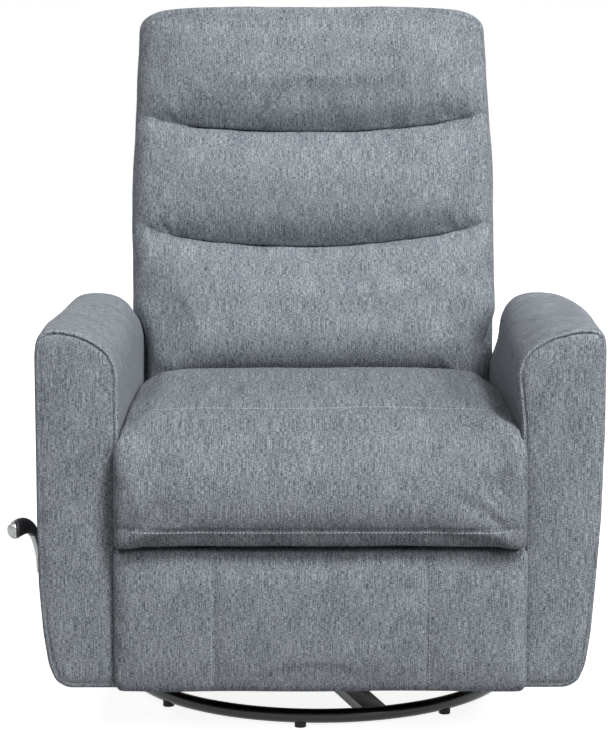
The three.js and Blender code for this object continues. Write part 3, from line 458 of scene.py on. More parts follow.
def swell(piece, held, give, pressure, furthest, slack):
    start = points_of(piece)
    group = piece.vertex_groups.new(name="held")
    group.add([int(i) for i in np.flatnonzero(held)], 1.0, "REPLACE")
    cloth = piece.modifiers.new("cloth", "CLOTH")
    cloth.settings.quality = 5
    cloth.settings.mass = 0.3
    cloth.settings.tension_stiffness = 15
    cloth.settings.compression_stiffness = 15
    cloth.settings.bending_stiffness = 0.5
    cloth.settings.shrink_min = -slack
    cloth.settings.use_pressure = True
    cloth.settings.uniform_pressure_force = pressure
    cloth.settings.vertex_group_mass = "held"
    cloth.settings.effector_weights.gravity = 0
    cloth.collision_settings.use_collision = False
    for number in range(1, SWELL_FRAMES + 1):
        scene.frame_set(number)
    swollen = piece.evaluated_get(bpy.context.evaluated_depsgraph_get())
    flat = np.zeros(len(start) * 3)
    swollen.data.vertices.foreach_get("co", flat)
    moved = flat.reshape(-1, 3) - start
    length = np.linalg.norm(moved, axis=1, keepdims=True)
    moved *= np.minimum(1, furthest / np.maximum(length, 1e-9)) * np.reshape(give, (-1, 1))
    piece.modifiers.remove(cloth)
    piece.vertex_groups.clear()
    scene.frame_set(1)
    put_points(piece, start + moved)
    print(piece.name, "swelled by up to", round(float(np.linalg.norm(moved, axis=1).max() / MM), 1), "mm")


def ripple(piece, size, height, seed, weight=1):
    points = points_of(piece)
    offset = Vector((seed * 7.3, seed * 3.1, seed * 5.7))
    amount = np.array([noise.noise(Vector(p) / size + offset) for p in points])
    put_points(piece, points + normals_of(piece) * (amount * height * weight)[:, None])


# %% [markdown]
# ## Stitches
#
# A topstitched seam is a shallow valley with a row of short thread stitches beside it. Each stitch is a
# small flattened bead of thread, laid on the cloth where a ray from outside meets it, 6 mm after the last.
# A painted line would not catch the light.


# %% The stitches
STITCH_LENGTH = 4.6 * MM
STITCH_EVERY = 6
STITCH_SIDES = 6
STITCH_RINGS = ((-1, 0.35), (-0.6, 0.9), (0, 1.0), (0.6, 0.9), (1, 0.35))
FROM_OUTSIDE = 0.12


def sew(name, piece, body, path, outward, lift=0.35):
    tree = BVHTree.FromObject(piece, bpy.context.evaluated_depsgraph_get())
    outward = Vector(outward)
    path = [Vector(p) for p in path]
    spots = []
    carried = 0.0
    for a, b in zip(path, path[1:]):
        span = (b - a).length
        while carried < span:
            spots.append(a.lerp(b, carried / span))
            carried += 1.0 * MM
        carried -= span
    landed = []
    for spot in spots:
        hit, normal, _, _ = tree.ray_cast(spot + outward * FROM_OUTSIDE, -outward)
        if hit:
            landed.append((hit, normal))
    points, faces = [], []
    half_length = STITCH_LENGTH / 2
    step = STITCH_EVERY
    for k in range(step, len(landed) - step, step):
        middle, normal = landed[k]
        along = (landed[k + 2][0] - landed[k - 2][0]).normalized()
        side = normal.cross(along).normalized()
        base = len(points)
        for t, girth in STITCH_RINGS:
            for q in range(STITCH_SIDES):
                turn = q * math.tau / STITCH_SIDES
                ring = side * math.cos(turn) * 0.95 * MM * girth
                ring += normal * math.sin(turn) * 0.7 * MM * girth
                sink = lift * MM - abs(t) ** 3 * 0.5 * MM
                points.append(middle + along * t * half_length + ring + normal * sink)
        last = len(points) - STITCH_SIDES
        for start in range(base, last, STITCH_SIDES):
            for q in range(STITCH_SIDES):
                a, b = start + q, start + (q + 1) % STITCH_SIDES
                faces.append((a, b, b + STITCH_SIDES, a + STITCH_SIDES))
        faces.append(tuple(base + q for q in reversed(range(STITCH_SIDES))))
        faces.append(tuple(last + q for q in range(STITCH_SIDES)))
    mesh = bpy.data.meshes.new(name)
    mesh.from_pydata(points, [], faces)
    row = show(name, mesh, thread)
    mesh.shade_smooth()
    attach(row, body)
    print(name, (len(landed) // step) - 1, "stitches")


# %% [markdown]
# ## Seat cushion
#
# The seat is a thick foam block whose cover runs over its front edge in one big roll and ends in a lip in
# front of the frame. The side view is drawn once and repeated across the chair, drawn in towards both
# ends. It starts 4 mm small, and the simulation fills it out. Afterwards two sewn seams are pressed into
# its front: one where the roll begins, and one just above the lip. Where it stands before the arms it is a
# little wider, and between them it keeps clear of them.

# %% Sizes that the padding shares with the frame
LEAN = math.radians(20)
HINGE = np.array((0, 115 * MM, 366 * MM))
BACK_FRONT = 33 * MM
RAIL_FRONT = -398.3 * MM
ARM_INNER, ARM_WIDTH = 296.2 * MM, 122.8 * MM
ARM_FRONT, ARM_REAR = -415 * MM, 232 * MM


def back_face_y(z):
    rise = (z - HINGE[2] - BACK_FRONT * math.sin(LEAN)) / math.cos(LEAN)
    return HINGE[1] + rise * math.sin(LEAN) - BACK_FRONT * math.cos(LEAN)


# %% The seat cushion
SEAT_HALF = 296 * MM
SEAT_FRONT = -462 * MM
SEAT_TOP = 492 * MM
SEAT_BASE = 403 * MM
SEAT_LIP = 311 * MM
SEAT_ROLL = 84 * MM
SEAT_CROWN = 17 * MM
SEAT_TO_BACK = 21 * MM
SEAT_SMALLER = 4 * MM


def seat_profile(inset, drop, crown, r, rear_drop):
    front = SEAT_FRONT + inset + SEAT_SMALLER
    top = SEAT_TOP - drop - SEAT_SMALLER
    rear = back_face_y(top) - SEAT_TO_BACK
    rear_base = min(back_face_y(SEAT_BASE) - 6 * MM, rear)
    low, under = 24 * MM, 13 * MM
    depth = rear - front
    rear_top = top - rear_drop
    outline = [(rear_base, SEAT_BASE), (rear, rear_top - 16 * MM), (rear - 8 * MM, rear_top - 3 * MM)]
    for share in np.linspace(0.06, 0.85, 24):
        bulge = crown * math.sin(math.pi * min(share / 0.9, 1)) ** 0.7
        outline.append((rear - depth * share, top + bulge - rear_drop * max(1 - share / 0.35, 0) ** 2))
    outline += arc(front + r, top - r, r, 90, 180, 14)
    for share in np.linspace(0.08, 0.92, 10):
        swollen = crown * 0.5 * math.sin(math.pi * share)
        outline.append((front - swollen, (top - r) + (SEAT_LIP + under - top + r) * share))
    outline += arc(front + low, SEAT_LIP + under, low, 180, 228, 6)
    outline += [(RAIL_FRONT, SEAT_LIP), (RAIL_FRONT, SEAT_BASE)]
    return outline


rings = []
for x in slices(296, 230, 4, 222, 12):
    from_end = SEAT_HALF - abs(x)
    inset = float(draw_in(from_end, 24 * MM)) * 0.8
    drop = float(draw_in(from_end * 1.2, 24 * MM)) * 0.3
    crown = SEAT_CROWN * (1 - (x / SEAT_HALF) ** 4)
    r = SEAT_ROLL - float(draw_in(from_end * 0.4, 36 * MM)) * 0.9
    rear_drop = float(draw_in(from_end * 0.4, 36 * MM)) * 0.75
    rings.append([(x, y, z) for y, z in seat_profile(inset, drop, crown, r, rear_drop)])
seat = skin("seat_cushion_cover", rings, linen_seat_painted_shade)
remesh(seat, 6 * MM, 3)
at = points_of(seat)
resting = (at[:, 2] < SEAT_BASE + 9 * MM) & (at[:, 1] > RAIL_FRONT - 9 * MM)
resting |= at[:, 1] > 92 * MM
seat_give = np.clip((SEAT_HALF - np.abs(at[:, 0])) / (40 * MM), 0.25, 1)
swell(seat, resting, seat_give, 4, 8 * MM, 0.01)
refine(seat)
ripple(seat, 0.13, 2.2 * MM, 1)
ripple(seat, 0.045, 0.8 * MM, 2)
print("seat cushion", len(seat.data.polygons), "faces")


# %% Seams of the seat
ROLL_SEAM, ROLL_STITCHES = -338 * MM, -343 * MM
LIP_SEAM, LIP_STITCHES = 343 * MM, 339 * MM
SEAM_WIDTH, SEAM_DEPTH = 2.6 * MM, 1.8 * MM
SEAT_LOWEST = 312.5 * MM
BEFORE_ARMS = -417 * MM
BETWEEN_ARMS = 295.5 * MM


def hump(off, width):
    return np.exp(-((off / width) ** 2))


def seat_seams(piece):
    front_normals = np.clip(-normals_of(piece)[:, 1], 0, 1)
    top_normals = np.clip(normals_of(piece)[:, 2], 0, 1)
    points = points_of(piece)
    upper = hump(points[:, 1] - ROLL_SEAM, SEAM_WIDTH) * top_normals
    lower = hump(points[:, 2] - LIP_SEAM, SEAM_WIDTH) * front_normals
    put_points(piece, points - normals_of(piece) * ((upper + lower) * SEAM_DEPTH)[:, None])


def hold_seat_clear(piece):
    points = points_of(piece)
    before_arms = np.clip((BEFORE_ARMS - points[:, 1]) / (14 * MM), 0, 1)
    points[:, 0] *= 1 + 0.027 * before_arms
    widest = BETWEEN_ARMS + 8 * MM * before_arms
    points[:, 0] = np.clip(points[:, 0], -widest, widest)
    below = (points[:, 1] > RAIL_FRONT) & (points[:, 2] < SEAT_BASE)
    points[below, 2] = SEAT_BASE
    points[:, 2] = np.maximum(points[:, 2], SEAT_LOWEST)
    put_points(piece, points)


seat_seams(seat)
hold_seat_clear(seat)
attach(seat, "chair_frame")
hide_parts("seat_cushion")
roll_row = [(x, ROLL_STITCHES, 0.5) for x in spread(-0.285, 0.285, 0.02)]
lip_row = [(x, -0.45, LIP_STITCHES) for x in spread(-0.28, 0.28, 0.02)]
sew("seat_stitches_upper", seat, "chair_frame", roll_row, (0, 0, 1))
sew("seat_stitches_lower", seat, "chair_frame", lip_row, (0, -1, 0))

# %% [markdown]
# ## Back
#
# The back is a tall padded box that leans 20 degrees. Two deep tucks are sewn across its front, which
# makes three pillows, and each tuck hangs lower in the middle. The rings are flat sections of the upright
# back, which is leaned afterwards. The space behind for the timber frame is cut out before the remesh, and
# the tucks are held while the pillows swell. The sharp crease comes after that, because a remesh would
# wash it out: points near a tuck go in, and those just above it also sink over it. Small folds fan out
# from each tuck's ends, and a sewn seam runs along the top. The real back stands 5 mm to the left.

# %% The back's shape
BACK_LOW = 20 * MM
BACK_EDGE = 34 * MM
rise_of_edge = 1084.5 * MM - HINGE[2] - BACK_EDGE - (BACK_FRONT - BACK_EDGE) * math.sin(LEAN)
BACK_TOP = rise_of_edge / math.cos(LEAN) + BACK_EDGE
BACK_REAR_EDGE = 18 * MM
BACK_WIDEST = 311 * MM
POCKET_TOP = 716.5 * MM
POCKET_HALF = 267.8 * MM
BACK_SMALLER = 6 * MM
BACK_ASIDE = -4.8 * MM


TUCK_RISE = (363 * MM, 560 * MM)
TUCK_SAG = (23 * MM, 15 * MM)
TUCK_END = (258 * MM, 250 * MM)


def tuck_rise(which, x):
    across = np.clip(np.abs(x) / (300 * MM), 0, 1)
    right = np.clip(x / (250 * MM), 0, 1)
    lifted = (10 * MM * right, 8 * MM * right**2)[which]
    return TUCK_RISE[which] - TUCK_SAG[which] * (1 - across**2) ** 1.2 + lifted


def rounded(share):
    return math.sqrt(1 - (1 - min(max(share, 0), 1)) ** 2)


OVER_TUCK, UNDER_TUCK = 58 * MM, 84 * MM
FOOT_RISE, FOOT_ROUND = 118 * MM, 72 * MM


def fullness(rise, x):
    low, high = tuck_rise(0, x), tuck_rise(1, x)
    if rise < low:
        foot = 0.1 + 0.9 * rounded((rise - FOOT_RISE) / FOOT_ROUND)
        return min(foot, rounded((low - rise) / UNDER_TUCK))
    if rise < high:
        return min(rounded((rise - low) / OVER_TUCK), rounded((high - rise) / UNDER_TUCK))
    return rounded((rise - high) / OVER_TUCK)


WIDENS_FROM, WIDENS_OVER, NARROWS_FROM = 165 * MM, 61 * MM, 480 * MM


def back_half_width(rise):
    widening = min(max((rise - WIDENS_FROM) / WIDENS_OVER, 0), 1)
    narrowing = max((rise - NARROWS_FROM) / (BACK_TOP - NARROWS_FROM), 0)
    return (284 + 27 * widening**1.6 - 10 * narrowing) * MM


def behind_arms(rise, depth):
    y = HINGE[1] + depth * math.cos(LEAN) + rise * math.sin(LEAN)
    return rise > 100 * MM and y > ARM_REAR + 9 * MM


def back_rear(rise):
    return (127 - 20 * rise / BACK_TOP) * MM


TUCK_DEPTH, PILLOW_BULGE = 38 * MM, 30 * MM
FACE_POINTS, FLANK_POINTS = 81, 14


def back_ring(rise):
    from_top = BACK_TOP - rise
    side = float(draw_in(from_top, 30 * MM)) * 1.5
    front = -BACK_FRONT + float(draw_in(from_top, 20 * MM)) + BACK_SMALLER
    rear = back_rear(rise) - float(draw_in(from_top, 18 * MM))
    r, rr = BACK_EDGE, BACK_REAR_EDGE
    half = back_half_width(rise) - side
    wide = BACK_WIDEST - side
    ring = []

    def padded_out(x):
        across = min(abs(x) / half, 1)
        full = fullness(rise, x)
        return TUCK_DEPTH * (1 - full) * (1 - across**5) - PILLOW_BULGE * full * (1 - across**4)

    for x in np.linspace(r - half, half - r, FACE_POINTS):
        ring.append((x, front + padded_out(x)))
    flank = [(x, depth + padded_out(x)) for x, depth in arc(half - r, front + r, r, -90, 0, 10)[1:]]
    for depth in np.linspace(front + r + 5 * MM, rear - rr, FLANK_POINTS):
        flank.append((max(wide, half) if rise < NARROWS_FROM and behind_arms(rise, depth) else half, depth))
    flank += arc(flank[-1][0] - rr, rear - rr, rr, 0, 90, 5)[1:]
    ring += flank + [(-x, depth) for x, depth in reversed(flank)]
    return [(x + BACK_ASIDE * (1 + rise / BACK_TOP), depth, rise) for x, depth in ring]


def leaned(points):
    points = np.array(points)
    x, depth, rise = points[:, 0], points[:, 1], points[:, 2]
    s, c = math.sin(LEAN), math.cos(LEAN)
    return np.stack([x, HINGE[1] + depth * c + rise * s, HINGE[2] + rise * c - depth * s], axis=1)


corner = np.cos(np.linspace(0, math.pi / 2, 10)[1:])
rises = np.concatenate([np.arange(BACK_LOW, BACK_TOP - 30 * MM, 6 * MM), BACK_TOP - 30 * MM * corner])
back = skin("back_cover", [back_ring(float(r)) for r in rises], linen)
hollow(back, (-POCKET_HALF, 14 * MM, BACK_LOW - 9 * MM), (POCKET_HALF, 200 * MM, POCKET_TOP))
remesh(back, 6 * MM, 3)
print("back, before it swells:", len(back.data.polygons), "faces")

# %% The back swells and gets its tucks
at = points_of(back)
near_tuck = np.minimum(np.abs(at[:, 2] - tuck_rise(0, at[:, 0])), np.abs(at[:, 2] - tuck_rise(1, at[:, 0])))
sewn = (near_tuck < 5 * MM) & (np.abs(at[:, 0]) < 262 * MM) & (at[:, 1] < 10 * MM)
inside = (np.abs(at[:, 0]) < 274 * MM) & (at[:, 1] > 8 * MM) & (at[:, 2] < POCKET_TOP + 6 * MM)
resting = (at[:, 1] > back_rear(at[:, 2]) - 16 * MM) | (at[:, 2] < 40 * MM)
on_face = np.clip((30 * MM - at[:, 1]) / (30 * MM), 0.12, 1)
from_side = np.clip((303 * MM - np.abs(at[:, 0])) / (60 * MM), 0, 1)
from_top = np.clip((BACK_TOP - at[:, 2]) / (60 * MM), 0.1, 1)
from_tuck = np.clip(near_tuck / (105 * MM), 0, 1)
from_tuck = 0.1 + 0.9 * from_tuck**2 * (3 - 2 * from_tuck)
swell(back, sewn | inside | resting, on_face * from_side * from_top * from_tuck, 4, 14 * MM, 0.015)
refine(back)


CREASE_DEPTH, CREASE_WIDTH = 8.5 * MM, 4 * MM
FOLD_DEPTH, FOLD_WIDTH = 2.2 * MM, 2.4 * MM
OVERHANG_SINKS, OVERHANG_SWELLS, OVERHANG_FADES = 9.5 * MM, 3.5 * MM, 9 * MM
PUCKER_DEPTH, PUCKER_REACH = 1.6 * MM, 18 * MM


def press_tucks(piece):
    points = points_of(piece)
    x, depth, rise = points.T
    facing = np.clip((12 * MM - depth) / (12 * MM), 0, 1)
    for which, end in enumerate(TUCK_END):
        off = rise - tuck_rise(which, x)
        sides = np.clip((end - np.abs(x)) / (50 * MM), 0, 1) * facing
        depth += CREASE_DEPTH * hump(off, CREASE_WIDTH) * sides
        arch = 7 * MM * hump(np.abs(x) - 286 * MM, 14 * MM)
        depth += FOLD_DEPTH * hump(off - arch, FOLD_WIDTH) * (1 - sides)
        above = np.clip(off / (4 * MM), 0, 1) * np.exp(-np.clip(off, 0, None) / OVERHANG_FADES)
        rise -= OVERHANG_SINKS * above * sides
        depth -= OVERHANG_SWELLS * above * sides
        for corner in (-1, 1):
            aside = x - corner * (end - 14 * MM)
            far = np.hypot(aside, off)
            turn = np.arctan2(off, aside * corner)
            pucker = np.sin(turn * 5 + which + corner) * hump(far - PUCKER_REACH, PUCKER_REACH)
            depth += PUCKER_DEPTH * pucker * facing
    put_points(piece, np.stack([x, depth, rise], axis=1))


TOP_SEAM_WIDTH, TOP_SEAM_DEPTH = 3.2 * MM, 4.2 * MM


def top_seam(x):
    return BACK_TOP - 5 * MM - 19 * MM * (np.abs(x) / (262 * MM)) ** 3


def press_top_seam(piece):
    points = points_of(piece)
    x, depth, rise = points.T
    groove = hump(rise - top_seam(x), TOP_SEAM_WIDTH)
    groove *= (depth < 10 * MM) * (np.abs(x) < 285 * MM)
    put_points(piece, points - normals_of(piece) * (TOP_SEAM_DEPTH * groove)[:, None])


press_tucks(back)
steady = np.clip((BACK_TOP - points_of(back)[:, 2]) / (90 * MM), 0.15, 1)
ripple(back, 0.16, 2.5 * MM, 3, steady)
ripple(back, 0.05, 1.0 * MM, 4, steady)
press_top_seam(back)
put_points(back, leaned(points_of(back)))
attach(back, "back")
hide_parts("back_cushion")
top_xs = spread(-0.262, 0.262, 0.01)
top_row = [(x + BACK_ASIDE * 2, -60 * MM, float(top_seam(x)) - 3.5 * MM) for x in top_xs]
sew("back_stitches_top", back, "back", leaned(top_row), (0, -math.cos(LEAN), math.sin(LEAN)), lift=0.7)
print("back", len(back.data.polygons), "faces")

# %% [markdown]
# ## Rear panel of the back
#
# A flat sheet of the same cloth closes the back behind, stretched over the frame and stapled along its
# edges. It is a thin slab with soft edges and a slight give in the middle.

# %% The rear panel
PANEL_HALF = 267.4 * MM
panel_rises = spread(BACK_LOW, POCKET_TOP - 0.4 * MM, 30 * MM)
rings = []
for x in slices(267.4, 255, 4, 240, 24):
    give = 1.5 * MM * (1 - (x / PANEL_HALF) ** 2)
    soft = float(draw_in(PANEL_HALF - abs(x), 2 * MM))
    front_row = [(x, back_rear(r) - 5 * MM + soft, r) for r in panel_rises]
    rear_row = []
    for r in panel_rises:
        sag = give * math.sin(math.pi * (r - BACK_LOW) / (POCKET_TOP - BACK_LOW))
        rear_row.append((x, back_rear(r) - soft - sag, r))
    rings.append(front_row + rear_row[::-1])
rear_panel = skin("back_rear_cloth", rings, linen)
put_points(rear_panel, leaned(points_of(rear_panel)))
rear_panel.data.shade_smooth()
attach(rear_panel, "back")
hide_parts("back_rear_panel")
print("rear panel", len(rear_panel.data.polygons), "faces")

# %% [markdown]
# ## Footrest
#
# The footrest is a padded board that closes the front of the chair under the seat. It is wider in front
# of the arms than between them, so its section steps in at both ends. Two seams run down its face and
# part it into three panels.

# %% The footrest
FOOT_HALF = 307 * MM
FOOT_FRONT = -437 * MM
FOOT_LOW, FOOT_HIGH = 88 * MM, 308 * MM
FOOT_SMALLER = 4 * MM
WING, WING_REAR = 12 * MM, -417.5 * MM
FOOT_BETWEEN_ARMS = 294 * MM
FOOT_SEAM, FOOT_STITCHES = 157.5 * MM, 161.5 * MM
FOOT_SEAM_WIDTH, FOOT_SEAM_DEPTH = 2.4 * MM, 2.4 * MM


def foot_profile(rear, inset, crown):
    front, low, high = FOOT_FRONT + inset + FOOT_SMALLER, FOOT_LOW + inset, FOOT_HIGH - inset
    r, under = 14 * MM, 30 * MM
    outline = [(rear, high)]
    outline += arc(front + r, high - r, r, 90, 180, 6)
    for share in np.linspace(0.04, 0.96, 24):
        swollen = crown * math.sin(math.pi * share) ** 0.8
        outline.append((front - swollen, high - r - (high - low - r - 22 * MM) * share))
    outline += arc(front + under, low + 22 * MM, under, 180, 226, 6)
    outline += [(rear, low)]
    return outline


rings = []
for x in slices(307, 291, 2, 283, 8):
    from_end = FOOT_HALF - abs(x)
    rear = WING_REAR if from_end < WING else RAIL_FRONT
    inset = float(draw_in(from_end, 11 * MM))
    rings.append([(x, y, z) for y, z in foot_profile(rear, inset, 5 * MM * (1 - (x / FOOT_HALF) ** 4))])
foot = skin("footrest_cover", rings, linen)
remesh(foot, 5 * MM, 2)
at = points_of(foot)
quilted = np.abs(np.abs(at[:, 0]) - FOOT_SEAM) < 3 * MM
foot_give = np.clip(np.minimum(at[:, 2] - 90 * MM, 306 * MM - at[:, 2]) / (50 * MM), 0.15, 1)
swell(foot, quilted | (at[:, 1] > -424 * MM), foot_give, 3, 4 * MM, 0.004)
refine(foot)


def press_foot_seams(piece):
    points = points_of(piece)
    facing = np.clip(-normals_of(piece)[:, 1], 0, 1)
    off = np.abs(np.abs(points[:, 0]) - FOOT_SEAM)
    points[:, 1] += FOOT_SEAM_DEPTH * hump(off, FOOT_SEAM_WIDTH) * facing
    points[:, 2] = np.clip(points[:, 2], 87 * MM, 310 * MM)
    between = points[:, 1] > BEFORE_ARMS
    points[between, 0] = np.clip(points[between, 0], -FOOT_BETWEEN_ARMS, FOOT_BETWEEN_ARMS)
    put_points(piece, points)


press_foot_seams(foot)
ripple(foot, 0.11, 1.6 * MM, 5)
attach(foot, "footrest")
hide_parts("footrest_cushion")
for side, x in (("left", -FOOT_STITCHES), ("right", FOOT_STITCHES)):
    row = [(x, -0.45, z) for z in spread(0.1, 0.296, 0.01)]
    sew("footrest_stitches_" + side, foot, "footrest", row, (0, -1, 0))
print("footrest", len(foot.data.polygons), "faces")

# %% [markdown]
# ## Arms
#
# Each arm is a tall slim box. Its cover is one long strip over the outside, the round top and the inside,
# and a front panel is sewn in, with a sharp seam that follows the arm's outline. The section is drawn as
# a smooth closed curve and repeated from the front to the rear. At the front it goes round the edge, dips
# into the seam and then fills the panel in ever smaller rings. Each top is given by shares: how far across
# the arm a point lies, and how far below the highest line. The two arms of the real chair are not quite
# alike, so the outer half of the top has its own shares on each side.

# %% The arm's outline
TOP_ACROSS = (0, 0.02, 0.09, 0.21, 0.37, 0.55, 0.7, 0.82, 0.92, 0.98, 1)
FRONT_INNER = (1.15, 0.86, 0.57, 0.36, 0.17, 0.06)
REAR_INNER = (0.95, 0.64, 0.33, 0.11, 0.01, 0)
FRONT_OUTER = {"left": (0, 0.01, 0.09, 0.3, 0.62), "right": (0, 0, 0.03, 0.17, 0.45)}
REAR_OUTER = {"left": (0.03, 0.15, 0.4, 0.7, 1.0), "right": (0.03, 0.09, 0.19, 0.36, 0.6)}
SIDE_SHARES = [(1, 0.716), (0.975, 0.475), (0.95, 0.291), (0.905, 0.156)]
SIDE_SHARES += [(0.845, 0.065), (0.76, 0.018), (0.62, 0), (0.35, 0)]
ARM_LOW, ARM_HIGH = 91 * MM, 633 * MM
TOP_FALLS, TOP_FALLS_FROM = 51 * MM, 20 * MM
TOP_ROUND = 62 * MM


POINTS_ROUND_ARM = 300


def smooth_closed(points, count):
    points = np.array(points)
    gaps = np.linalg.norm(np.roll(points, -1, axis=0) - points, axis=1)
    length = np.concatenate([[0], np.cumsum(gaps)])
    closed = np.vstack([points, points[:1]])
    t = np.linspace(0, length[-1], count, endpoint=False)
    fine = np.stack([np.interp(t, length, closed[:, k]) for k in range(2)], axis=1)
    for _ in range(3):
        fine = (np.roll(fine, 1, axis=0) + 2 * fine + np.roll(fine, -1, axis=0)) / 4
    return fine


def arm_section(y, side):
    slope = max((y - TOP_FALLS_FROM) / (ARM_REAR - TOP_FALLS_FROM), 0)
    low, high = ARM_LOW, ARM_HIGH - TOP_FALLS * slope
    back = min(max((y + 300 * MM) / (320 * MM), 0), 1)
    fuller = 0.04 if side == "left" else 0
    flare = 0 if side == "left" else 15 * MM * slope - 8 * MM * (1 - back)
    outline = []
    for u, v, w in zip(TOP_ACROSS, FRONT_INNER + FRONT_OUTER[side], REAR_INNER + REAR_OUTER[side]):
        x = ARM_INNER + u * ARM_WIDTH + flare * (1 - u)
        shoulder = 0 if side == "left" else 34 * MM * back * (1 - back) * min(max((u - 0.7) / 0.25, 0), 1)
        outline.append((x, high - (v + (w - v) * back) * TOP_ROUND + shoulder))
    for u, v in SIDE_SHARES:
        u = min(u + fuller * min(1, u * 4 - 1.5) * min(1, (0.716 - v) * 5), 1)
        u -= 0 if side == "left" else 0.034 * min(max((0.5 - v) / 0.2, 0), 1) * min(1, u * 4 - 1.5)
        outline.append((ARM_INNER + u * ARM_WIDTH, low + v * (high - low)))
    for z in (low, 0.25, 0.4, 0.49):
        outline.append((ARM_INNER, z))
    return smooth_closed(outline, POINTS_ROUND_ARM)


def pulled_in(section, inset):
    along = np.roll(section, -1, axis=0) - np.roll(section, 1, axis=0)
    inward = np.stack([along[:, 1], -along[:, 0]], axis=1)
    inward /= np.linalg.norm(inward, axis=1, keepdims=True)
    return section + inward * inset


def toward_spine(section, share):
    middle = np.full(len(section), ARM_INNER + ARM_WIDTH * 0.52)
    spine = np.stack([middle, np.clip(section[:, 1], 0.165, 0.56)], axis=1)
    return section * (1 - share) + spine * share


PANEL_RINGS = ((0.97, 2.4), (0.8, 2.4), (0.6, 2.3), (0.4, 1.9), (0.22, 1.1), (0.1, 0.2), (0.04, -0.9))
PANEL_INSET, PANEL_SUNK = 8.2 * MM, 2.2 * MM
SEAM_RINGS = ((7.2, 4), (6.2, -0.6))
FRONT_ROUND, REAR_ROUND = 7 * MM, 20 * MM


def arm_rings(side):
    rings = []
    face = arm_section(ARM_FRONT, side)
    x_share = (face[:, 0] - ARM_INNER) / ARM_WIDTH
    sewn = np.clip((0.97 - x_share) / 0.15, 0, 1) * np.clip((face[:, 1] - 0.12) / 0.03, 0, 1)

    def ring(section, y):
        rings.append([(x, depth, z) for (x, z), depth in zip(section, np.broadcast_to(y, len(section)))])

    panel = pulled_in(face, PANEL_INSET)
    for share, crown in PANEL_RINGS:
        ring(toward_spine(panel, share), ARM_FRONT - crown * MM)
    ring(panel, ARM_FRONT + PANEL_SUNK)
    for inset, dip in SEAM_RINGS:
        ring(pulled_in(face, inset * MM), ARM_FRONT + 2.4 * MM + dip * MM * sewn)
    for angle in (20, 40, 60, 80, 90):
        a = math.radians(angle)
        deeper = PANEL_SUNK + FRONT_ROUND * (1 - math.cos(a))
        ring(pulled_in(face, 5.6 * MM * (1 - math.sin(a))), ARM_FRONT + deeper)
    for y in spread(-402, 205, 7):
        ring(arm_section(y * MM, side), y * MM)
    for angle in (15, 35, 55, 75, 90):
        a = math.radians(angle)
        y = ARM_REAR - REAR_ROUND * (1 - math.sin(a))
        ring(pulled_in(arm_section(y, side), REAR_ROUND * (1 - math.cos(a))), y)
    last = pulled_in(arm_section(ARM_REAR, side), REAR_ROUND)
    for share in (0.1, 0.35, 0.7, 0.95):
        ring(toward_spine(last, share), ARM_REAR)
    return rings


print("each arm has", len(arm_rings("left")), "rings of", POINTS_ROUND_ARM, "points")

# %% Both arms
BOARD_SHOWS_BELOW, BOARD_HIDDEN_FROM = 0.4, 0.35
SHAFT_BORE = (-0.43, -0.31)
BORE_RADIUS = 9.5 * MM


def make_arm(side, sign):
    rings = [[(sign * x, y, z) for x, y, z in ring] for ring in arm_rings(side)]
    arm = skin("arm_cover_cloth_" + side, rings, linen_arm)
    points = points_of(arm)
    away = np.clip((points[:, 1] - ARM_FRONT - 20 * MM) / (60 * MM), 0, 1)
    away *= np.clip((np.abs(points[:, 0]) - ARM_INNER) / (25 * MM), 0, 1)
    ripple(arm, 0.17, 2.4 * MM, 6 + sign, away)
    points = points_of(arm)
    inner = (np.abs(points[:, 0]) < ARM_INNER) & (points[:, 2] < 0.5)
    points[inner, 0] = sign * ARM_INNER
    put_points(arm, points)
    board_low, board_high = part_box("arm_board_right")
    gap, cloth = 0.3 * MM, 0.7 * MM
    x0, x1 = sorted((sign * 280 * MM, sign * (board_high.x + gap)))
    hollow(arm, (x0, board_low.y - gap, board_low.z - gap), (x1, board_high.y + gap, BOARD_SHOWS_BELOW))
    x0, x1 = sorted((sign * (ARM_INNER + cloth), sign * (board_high.x + gap)))
    hollow(arm, (x0, board_low.y - gap, BOARD_HIDDEN_FROM), (x1, board_high.y + gap, board_high.z + gap))
    if side == "left":
        shaft_low, shaft_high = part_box("torque_shaft")
        y, z = (shaft_low.y + shaft_high.y) / 2, (shaft_low.z + shaft_high.z) / 2
        r = BORE_RADIUS
        hollow(arm, (SHAFT_BORE[0], y - r, z - r), (SHAFT_BORE[1], y + r, z + r))
    arm.data.shade_smooth()
    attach(arm, "chair_frame")
    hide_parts("arm_cover_" + side)
    print(arm.name, len(arm.data.polygons), "faces")
    return arm


arms = {"left": make_arm("left", -1), "right": make_arm("right", 1)}

# %% Stitches round the arms' front panels
def arm_seam(side, sign):
    line = pulled_in(arm_section(ARM_FRONT, side), 3.4 * MM)
    outermost = ARM_INNER + 0.86 * ARM_WIDTH
    start = int(np.argmin(np.abs(line[:, 0] - outermost) + (line[:, 1] < 0.5)))
    line = np.roll(line, -start, axis=0)
    if line[5, 0] > line[0, 0]:
        line = np.roll(line[::-1], 1, axis=0)
    seam = []
    for x, z in line:
        if z < 0.13:
            break
        seam.append((sign * x, ARM_FRONT, z))
    return seam


for side, sign in (("left", -1), ("right", 1)):
    sew("arm_stitches_" + side, arms[side], "chair_frame", arm_seam(side, sign), (0, -1, 0))

# %% [markdown]
# ## Rear apron
#
# Behind the mechanism, a low cloth-covered board joins the two arms. It is a slab with rounded edges.

